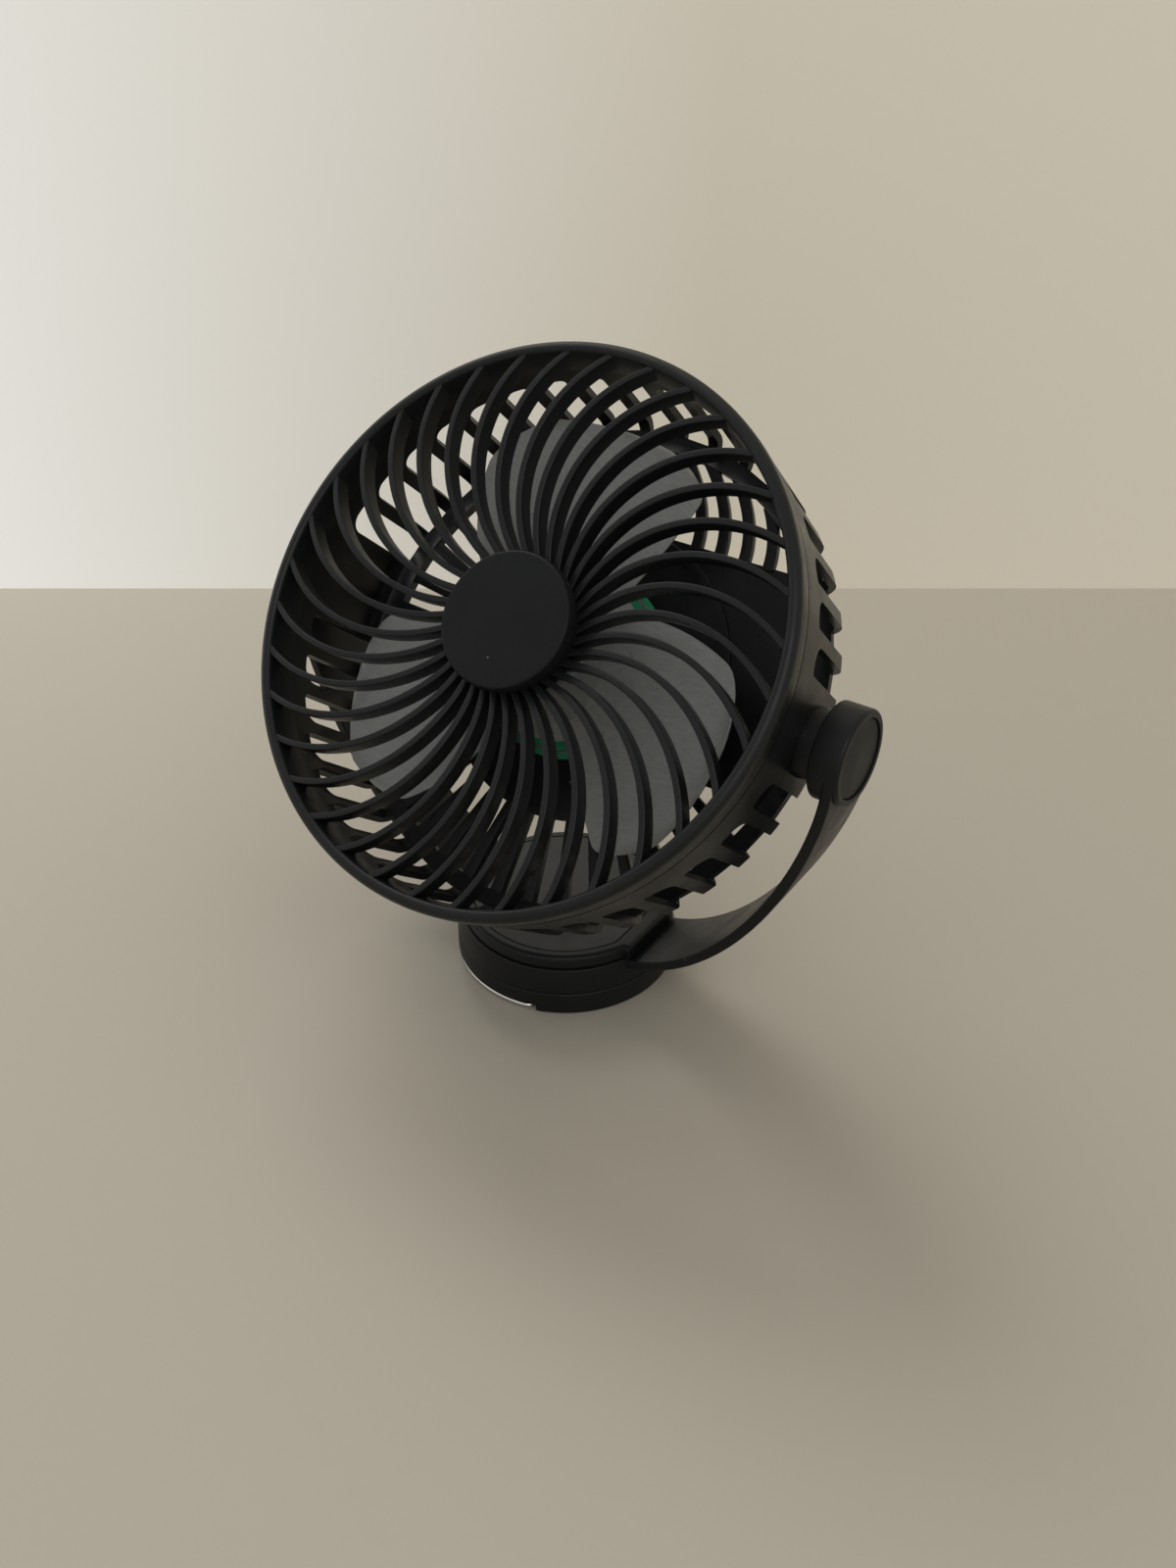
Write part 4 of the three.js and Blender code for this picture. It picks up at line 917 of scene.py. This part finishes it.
def side_slots():
    """Cutters for the slots of the side: of a slot's two front corners one is wide and one is tight."""
    half, wide, tight = SLOT_WIDTH / 2, SLOT_WIDE_CORNER, SLOT_TIGHT_CORNER
    outline = [(-half, SLOT_BACK), (half, SLOT_BACK)]
    outline += arc(half - wide, SLOT_FRONT - wide, wide, 0, math.pi / 2, 8)
    outline += arc(tight - half, SLOT_FRONT - tight, tight, math.pi / 2, math.pi, 4)
    return slot_cutters("slot_cutters", outline, 64)


def ring_notches():
    """Cutters that leave only the narrow ring of the back between the rounded ends of two bars."""
    half, back, front = SLOT_WIDTH / 2, REAR_FACE - 2, SLOT_BACK + 1
    outline = [(-half, back), (half, back), (half, front), (-half, front)]
    return slot_cutters("notch_cutters", outline, REAR_RING_OUTER)


def rear_shell():
    """Band, slotted side, shoulder and the ring that carries the ribs of the back, in one thin shell."""
    front = SEAM_FORWARD - GAP / 2
    inner = HEAD_RADIUS - WALL
    profile = [(REAR_RING_INNER, REAR_FACE)] + shoulder_line(SHOULDER_R, 0)
    profile += [(side_radius(z), z) for z in (0, 10, 20)]
    profile += [(HEAD_RADIUS, front), (inner, front)]
    profile += [(side_radius(z) - WALL, z) for z in (20, 10, 0)]
    profile += shoulder_line(REAR_RING_OUTER, WALL)[::-1]
    profile += [(REAR_RING_INNER, REAR_FACE + REAR_RIB_DEPTH), (REAR_RING_INNER, REAR_FACE)]
    bm = bmesh.new()
    revolve(bm, profile, 4 * REAR_RIBS)
    shell = finished("rear_shell_fine", bm, SHELL, HEAD)
    carve(shell, side_slots(), ring_notches())
    return softened(shell, 0.3)


def rear_disc():
    """The closed centre of the back, with the sleeve that holds the bearing tube."""
    face, inside, edge = REAR_FACE, REAR_FACE + REAR_CENTRE_THICKNESS, REAR_FACE + REAR_RIB_DEPTH
    outer, rim = REAR_CENTRE_RADIUS, REAR_CENTRE_RADIUS - 2.4
    disc = [(0, face), (outer - 2, face)]
    disc += arc(outer - 1.2, face + 1.2, 1.2, -math.pi / 2, 0, 5)
    disc += [(outer, edge - 0.3), (outer - 0.3, edge), (rim, edge), (rim, inside)]
    disc += [(TUBE_SLEEVE_OUTER, inside), (TUBE_SLEEVE_OUTER, TUBE_SLEEVE_FRONT)]
    disc += [(TUBE_SLEEVE_INNER, TUBE_SLEEVE_FRONT), (TUBE_SLEEVE_INNER, inside), (0, inside)]
    bm = bmesh.new()
    revolve(bm, disc, 160)
    return finished("rear_disc_fine", bm, SHELL, HEAD)


def rear_panel():
    """The closed part of the back, from the centre disc towards the right pivot."""
    outer, inner = REAR_RING_INNER + 1, REAR_CENTRE_RADIUS - 1.5
    low, high = REAR_PANEL_LOW, REAR_PANEL_HIGH
    outline = arc(0, 0, outer, math.asin(low / outer), math.asin(high / outer), 24)
    outline += [(0, high)] + arc(0, 0, inner, math.pi / 2, math.asin(low / inner), 40)
    bm = bmesh.new()
    stacked(bm, [(outline, REAR_FACE + 0.02), (outline, REAR_FACE + WALL)])
    return finished("rear_panel_fine", bm, SHELL, HEAD)


def trunnions():
    """The two necks that stand out of the side, each with a pin and a hole for the pivot screw."""
    bm = bmesh.new()
    end = BOSS_INNER_X - GAP
    profile = [(0, NECK_START_X), (NECK_RADIUS, NECK_START_X)]
    profile += arc(NECK_RADIUS - 0.4, end - 0.4, 0.4, 0, math.pi / 2, 3)
    profile += [(PIN_RADIUS, end), (PIN_RADIUS, PIN_END_X), (PIN_HOLE_RADIUS, PIN_END_X)]
    profile += [(PIN_HOLE_RADIUS, PIN_HOLE_END_X), (0, PIN_HOLE_END_X)]
    for side in (STILL, LEFT_SIDE):
        revolve(bm, profile, 96, side @ ALONG_X)
    return finished("trunnions_fine", bm, SHELL, HEAD)


def rib_section(width):
    """Section of a rib of the back, as (across, height) pairs."""
    depth = REAR_RIB_DEPTH - 2 * REAR_RIB_INSET
    middle = REAR_FACE + REAR_RIB_INSET + depth / 2
    return [(across, middle + z) for across, z in rounded_box(width, depth, 0.4, 3)]


def rear_ribs():
    """Straight ribs that widen towards the ring, left out at the panel and the curved ribs above it."""
    bm = bmesh.new()
    inner, outer = rib_section(REAR_RIB_CENTRE_WIDTH), rib_section(REAR_RIB_RING_WIDTH)
    ends = ((REAR_CENTRE_RADIUS - 1, inner), (REAR_RING_INNER + 1, outer))
    loft(bm, [[Vector((r, across, z)) for across, z in loop] for r, loop in ends])
    ribs = copied_round("rear_ribs_fine", bm, SHELL, REAR_RIBS)
    to_head = HEAD.inverted()
    first = math.asin(REAR_PANEL_LOW / REAR_RING_INNER) + rad(3)
    bm = bmesh.new()
    bm.from_mesh(ribs.data)
    covered = []
    for vert in bm.verts:
        at = to_head @ (vert.co / MM)
        if first < math.atan2(at.y, at.x) < LAST_CURVED_TURN:
            covered.append(vert)
    bmesh.ops.delete(bm, geom=covered, context="VERTS")
    bm.to_mesh(ribs.data)
    bm.free()
    return ribs


def curved_ribs():
    """The ribs above the panel: they bend out of the panel's edge and lean towards the ring."""
    bm = bmesh.new()
    loop = rib_section(CURVED_RIB_WIDTH)

    def lean(y):
        return CURVED_RIB_FOOT_X - CURVED_RIB_LEAN * max(0.0, y - CURVED_RIB_FOOT_Y) ** 2

    for k in range(CURVED_RIBS):
        sections = []
        for i in range(29):
            y = REAR_PANEL_HIGH - 1 + i
            x = lean(y) + CURVED_RIB_PITCH * k
            if math.hypot(x, y) > REAR_RING_INNER + 1.5:
                break
            across = Vector((1, lean(y - 0.5) - lean(y + 0.5), 0)).normalized()
            sections.append([Vector((x, y, z)) + across * a for a, z in loop])
        loft(bm, sections)
    return finished("curved_ribs_fine", bm, SHELL, HEAD)


# ---- Motor and impeller ----
def motor_board():
    """The round board, its tinned track and joints, and its few parts."""
    bm = bmesh.new()
    washer(bm, BOARD_BORE, BOARD_RADIUS, BOARD_FRONT - BOARD_THICKNESS, BOARD_FRONT, 128)
    board = finished("motor_board_fine", bm, BOARD, HEAD)
    tinned, chips = bmesh.new(), bmesh.new()
    washer(tinned, 26.6, 27.4, BOARD_FRONT, BOARD_FRONT + 0.12, 128)
    joint = 0.35
    for turn, r, length, width, height in BOARD_PARTS:
        spin = Matrix.Rotation(rad(turn), 4, "Z")
        low, high = r - length / 2, r + length / 2
        for side in (-1, 1):
            y = side * (width / 2 + joint)
            bar(tinned, low, high, y - joint, y + joint, BOARD_FRONT - 0.1, BOARD_FRONT + joint, 0.1, spin)
        bar(chips, low, high, -width / 2, width / 2, BOARD_FRONT, BOARD_FRONT + height, 0.12, spin)
    tin_piece = finished("board_solder", tinned, SOLDER, HEAD)
    return board, tin_piece, finished("board_chips", chips, MAGNET, HEAD)


def rotor():
    """The impeller's cup, which turns round the motor, with a small skirt at its open end."""
    bm = bmesh.new()
    front, back = ROTOR_FRONT, ROTOR_BACK
    inner, floor = ROTOR_RADIUS - ROTOR_SKIN, ROTOR_FRONT - ROTOR_SKIN
    profile = [(SHAFT_RADIUS, ROTOR_BOSS_BACK), (ROTOR_BOSS_RADIUS, ROTOR_BOSS_BACK)]
    profile += [(ROTOR_BOSS_RADIUS, floor), (inner, floor), (inner, back)]
    profile += [(SKIRT_RADIUS - 0.3, back), (SKIRT_RADIUS, back + 0.3), (SKIRT_RADIUS, back + 1.3)]
    profile += arc(ROTOR_RADIUS + 1.2, back + 2.8, 1.2, -math.pi / 2, -math.pi, 5)
    profile += arc(ROTOR_RADIUS - 1.8, front - 1.8, 1.8, 0, math.pi / 2, 6)
    profile += [(SHAFT_RADIUS, front), (SHAFT_RADIUS, ROTOR_BOSS_BACK)]
    revolve(bm, profile, 128)
    return finished("rotor_cup_fine", bm, BLADE, HEAD)


def mix(start, end, share):
    """The value at a share of the way between two others."""
    return start + (end - start) * share


def blades():
    """One broad, twisted blade with rounded corners, copied round the axis."""
    bm = bmesh.new()
    out, across = 26, 26
    root = ROTOR_RADIUS - 0.8
    sections = []
    for i in range(out + 1):
        t = i / out
        r = mix(root, IMPELLER_RADIUS, 1 - (1 - t) ** 1.4)
        u = (r - root) / (IMPELLER_RADIUS - root)
        tuck = rad(15) * max(0.0, (u - 0.82) / 0.18) ** 2.4
        lead = mix(*BLADE_LEAD, u) - tuck
        trail = mix(*BLADE_TRAIL, u) + tuck
        rise = mix(*BLADE_RISE, u)
        half = BLADE_THICKNESS / 2 if i < out else 0.35
        loop = []
        steps = [j / across for j in range(across + 1)]
        for side, order in ((-1, steps), (1, steps[::-1])):
            for s in order:
                edge = min(s, 1 - s) * (lead - trail) * r
                thin = min(1.0, 0.35 + 0.65 * math.sqrt(max(edge, 0) / 1.6)) if edge < 1.6 else 1.0
                turn = mix(trail, lead, s)
                z = BLADE_MIDDLE_Z + rise * (2 * s - 1) + side * half * thin
                loop.append(Vector((r * math.cos(turn), r * math.sin(turn), z)))
        sections.append(loop)
    loft(bm, sections)
    return copied_round("blades_fine", bm, BLADE, BLADES, BLADE_PHASE)


# ---- Table, wall, light and camera ----
CAMERA_AZIMUTH = rad(34.1)
CAMERA_PITCH = rad(34.78)
CAMERA_PLACE = Vector((0.23637, -0.33646, 0.34886))
CAMERA_LENS = 37.18
WALL_DISTANCE = 0.659
WALL_HEIGHT = 3
STAGE_HALF_WIDTH = 4.0
ROOM_COLOUR = (1.0, 0.985, 0.96)
ROOM_STRENGTH = 0.62


def stage_paint_with_painted_shade(name, near, far, reach):
    """Pale matt paint with painted shade: darker near the fan and paler further out, shading slowly from
    one tone to another.
    """
    finish = Finish(name, near, 0.7, Specular_IOR_Level=0.3)
    # painted shade: the tone is darkest at the fan's place and pales with distance from it
    spread = finish.add("ShaderNodeVectorMath", operation="LENGTH")
    finish.link(finish.place, spread.inputs[0])
    tone = finish.ramp(spread.outputs["Value"], 0.05, reach, near, far)
    finish.link(tone, finish.shader.inputs["Base Color"])
    finish.bump(finish.noise(1.2, 2), 0.02, 0.15)
    return finish


def sheet(name, corners, material):
    """A flat sheet of the stage."""
    mesh = bpy.data.meshes.new(name)
    mesh.from_pydata([Vector(c) for c in corners], [], [(0, 1, 2, 3)])
    mesh.materials.append(material)
    piece = bpy.data.objects.new(name, mesh)
    scene.collection.objects.link(piece)
    return piece


def wall_finish_with_painted_light(across):
    """Paint with painted light: it glows a little, more so on the left, standing in for window light, and
    lets light through from behind.
    """
    paint = stage_paint_with_painted_shade("wall_paint_with_painted_light_and_shade", (0.74, 0.715, 0.665), (0.80, 0.780, 0.73), 1.2)
    # painted light: an emission, pale and cool on the left and dim and warm on the right, stands in for
    # window light falling on the wall
    sideways = paint.add("ShaderNodeVectorMath", operation="DOT_PRODUCT")
    paint.link(paint.place, sideways.inputs[0])
    sideways.inputs[1].default_value = across
    warm, bright = (0.085, 0.070, 0.030), (0.34, 0.365, 0.385)
    painted_window_light = paint.ramp(sideways.outputs["Value"], 0.06, -0.32, warm, bright)
    paint.link(painted_window_light, paint.shader.inputs["Emission Color"])
    paint.set("Emission Strength", 1.0)
    clear = paint.add("ShaderNodeBsdfTransparent")
    behind = paint.add("ShaderNodeNewGeometry").outputs["Backfacing"]
    blend = paint.add("ShaderNodeMixShader")
    paint.link(behind, blend.inputs[0])
    paint.link(paint.shader.outputs[0], blend.inputs[1])
    paint.link(clear.outputs[0], blend.inputs[2])
    paint.link(blend.outputs[0], paint.tree.nodes["Material Output"].inputs["Surface"])
    return paint.material


def set_stage():
    """The table, and a wall behind it that faces the camera."""
    # the table's near tone is painted shade round the fan
    table = stage_paint_with_painted_shade("table_paint_with_painted_shade", (0.405, 0.372, 0.312), (0.475, 0.440, 0.372), 0.9)
    size = STAGE_HALF_WIDTH
    corners = [(-size, -size, 0), (size, -size, 0), (size, size, 0), (-size, size, 0)]
    sheet("table", corners, table.material)
    ahead = Vector((-math.sin(CAMERA_AZIMUTH), math.cos(CAMERA_AZIMUTH), 0))
    across = Vector((math.cos(CAMERA_AZIMUTH), math.sin(CAMERA_AZIMUTH), 0))
    foot = Vector((CAMERA_PLACE.x, CAMERA_PLACE.y, 0)) + ahead * WALL_DISTANCE
    left, right = foot - across * size, foot + across * size
    up = Vector((0, 0, WALL_HEIGHT))
    wall = sheet("wall", [left, right, right + up, left + up], wall_finish_with_painted_light(across))
    wall.visible_shadow = False


def lamp(name, place, target, size, power, colour):
    """A soft round lamp that points at a target."""
    light = bpy.data.lights.new(name, "AREA")
    light.shape = "DISK"
    light.size = size
    light.energy = power
    light.color = colour
    made = bpy.data.objects.new(name, light)
    made.location = place
    made.rotation_euler = (Vector(target) - Vector(place)).to_track_quat("-Z", "Y").to_euler()
    scene.collection.objects.link(made)


def light_scene():
    """Even light from the room, a window at the back left and a weaker lamp in front."""
    world = bpy.data.worlds.new("room")
    world.use_nodes = True
    colour, strength = world.node_tree.nodes["Background"].inputs[:2]
    colour.default_value = (*ROOM_COLOUR, 1)
    strength.default_value = ROOM_STRENGTH
    scene.world = world
    lamp("window", (-0.9, 0.55, 1.1), (0, 0, 0.08), 0.9, 9, ROOM_COLOUR)
    lamp("room_light", (0.9, -0.9, 1.3), (0, 0, 0.1), 1.2, 5, (1.0, 0.97, 0.93))


def place_camera():
    """The camera, where the photograph was taken from."""
    camera = bpy.data.cameras.new("camera")
    camera.lens = CAMERA_LENS
    camera.sensor_width = 36
    camera.clip_start = 0.01
    made = bpy.data.objects.new("camera", camera)
    made.location = CAMERA_PLACE
    made.rotation_euler = (rad(90) - CAMERA_PITCH, 0, CAMERA_AZIMUTH)
    scene.collection.objects.link(made)
    scene.camera = made


# ---- Putting it together ----
set_stage()
light_scene()
place_camera()
scene.view_settings.view_transform = "Standard"

dress(base_shell(), "base", "yoke_plastic", "base_shell")
dress(hook_wire(), "hook", "wire_steel", "hook_wire")
dress(foot_pad(), "base", "foot_rubber", "foot_pad")
ring_piece, arms_piece = yoke_moulding()
dress(ring_piece, "yoke", "yoke_plastic", "yoke_moulding")
dress(arms_piece, "yoke", "yoke_plastic")
dress(ring_cover(), "yoke", "yoke_plastic", "ring_cover")
dress(cover_inlay(), "yoke", "inlay_plastic", "cover_inlay")
dress(boss_cap("boss_cap_right_fine", STILL), "yoke", "inlay_plastic", "boss_cap_right")
dress(boss_cap("boss_cap_left_fine", LEFT_SIDE), "yoke", "inlay_plastic", "boss_cap_left")
dress(power_button(), "button", "button_rubber", "power_button")
dress(front_ring(), "head", "shell_plastic", "front_grille")
dress(front_ribs(), "head", "shell_plastic")
dress(front_hub(), "head", "shell_plastic")
dress(hub_cap(), "head", "shell_plastic", "hub_cap")
dress(rear_shell(), "head", "shell_plastic", "rear_housing")
dress(trunnions(), "head", "shell_plastic")
dress(rear_disc(), "head", "shell_plastic")
dress(rear_panel(), "head", "shell_plastic")
dress(rear_ribs(), "head", "shell_plastic")
dress(curved_ribs(), "head", "shell_plastic")
board_piece, solder_piece, chips_piece = motor_board()
dress(board_piece, "head", "board_green", "motor_board")
dress(solder_piece, "head", "screw_steel")
dress(chips_piece, "head", "magnet_black")
dress(rotor(), "spinner", "blade_plastic", "impeller")
dress(blades(), "spinner", "blade_plastic")

SOLID_FINISHES = {
    "swivel_screw": SCREW,
    "swivel_washer": SCREW,
    "battery_pack": CELL,
    "control_board": BOARD,
    "tact_switch": MAGNET,
    "charging_port": SCREW,
    "charge_lens": LENS,
    "pivot_washer_right": SCREW,
    "pivot_washer_left": SCREW,
    "pivot_screw_right": SCREW,
    "pivot_screw_left": SCREW,
    "board_plug": NYLON,
    "bearing_tube": BRASS,
    "motor_stator": COPPER,
    "magnet_ring": MAGNET,
    "motor_shaft": STEEL,
    "shaft_collar": BRASS,
}
for node_name, finish in SOLID_FINISHES.items():
    for material_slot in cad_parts[node_name].material_slots:
        material_slot.material = finish
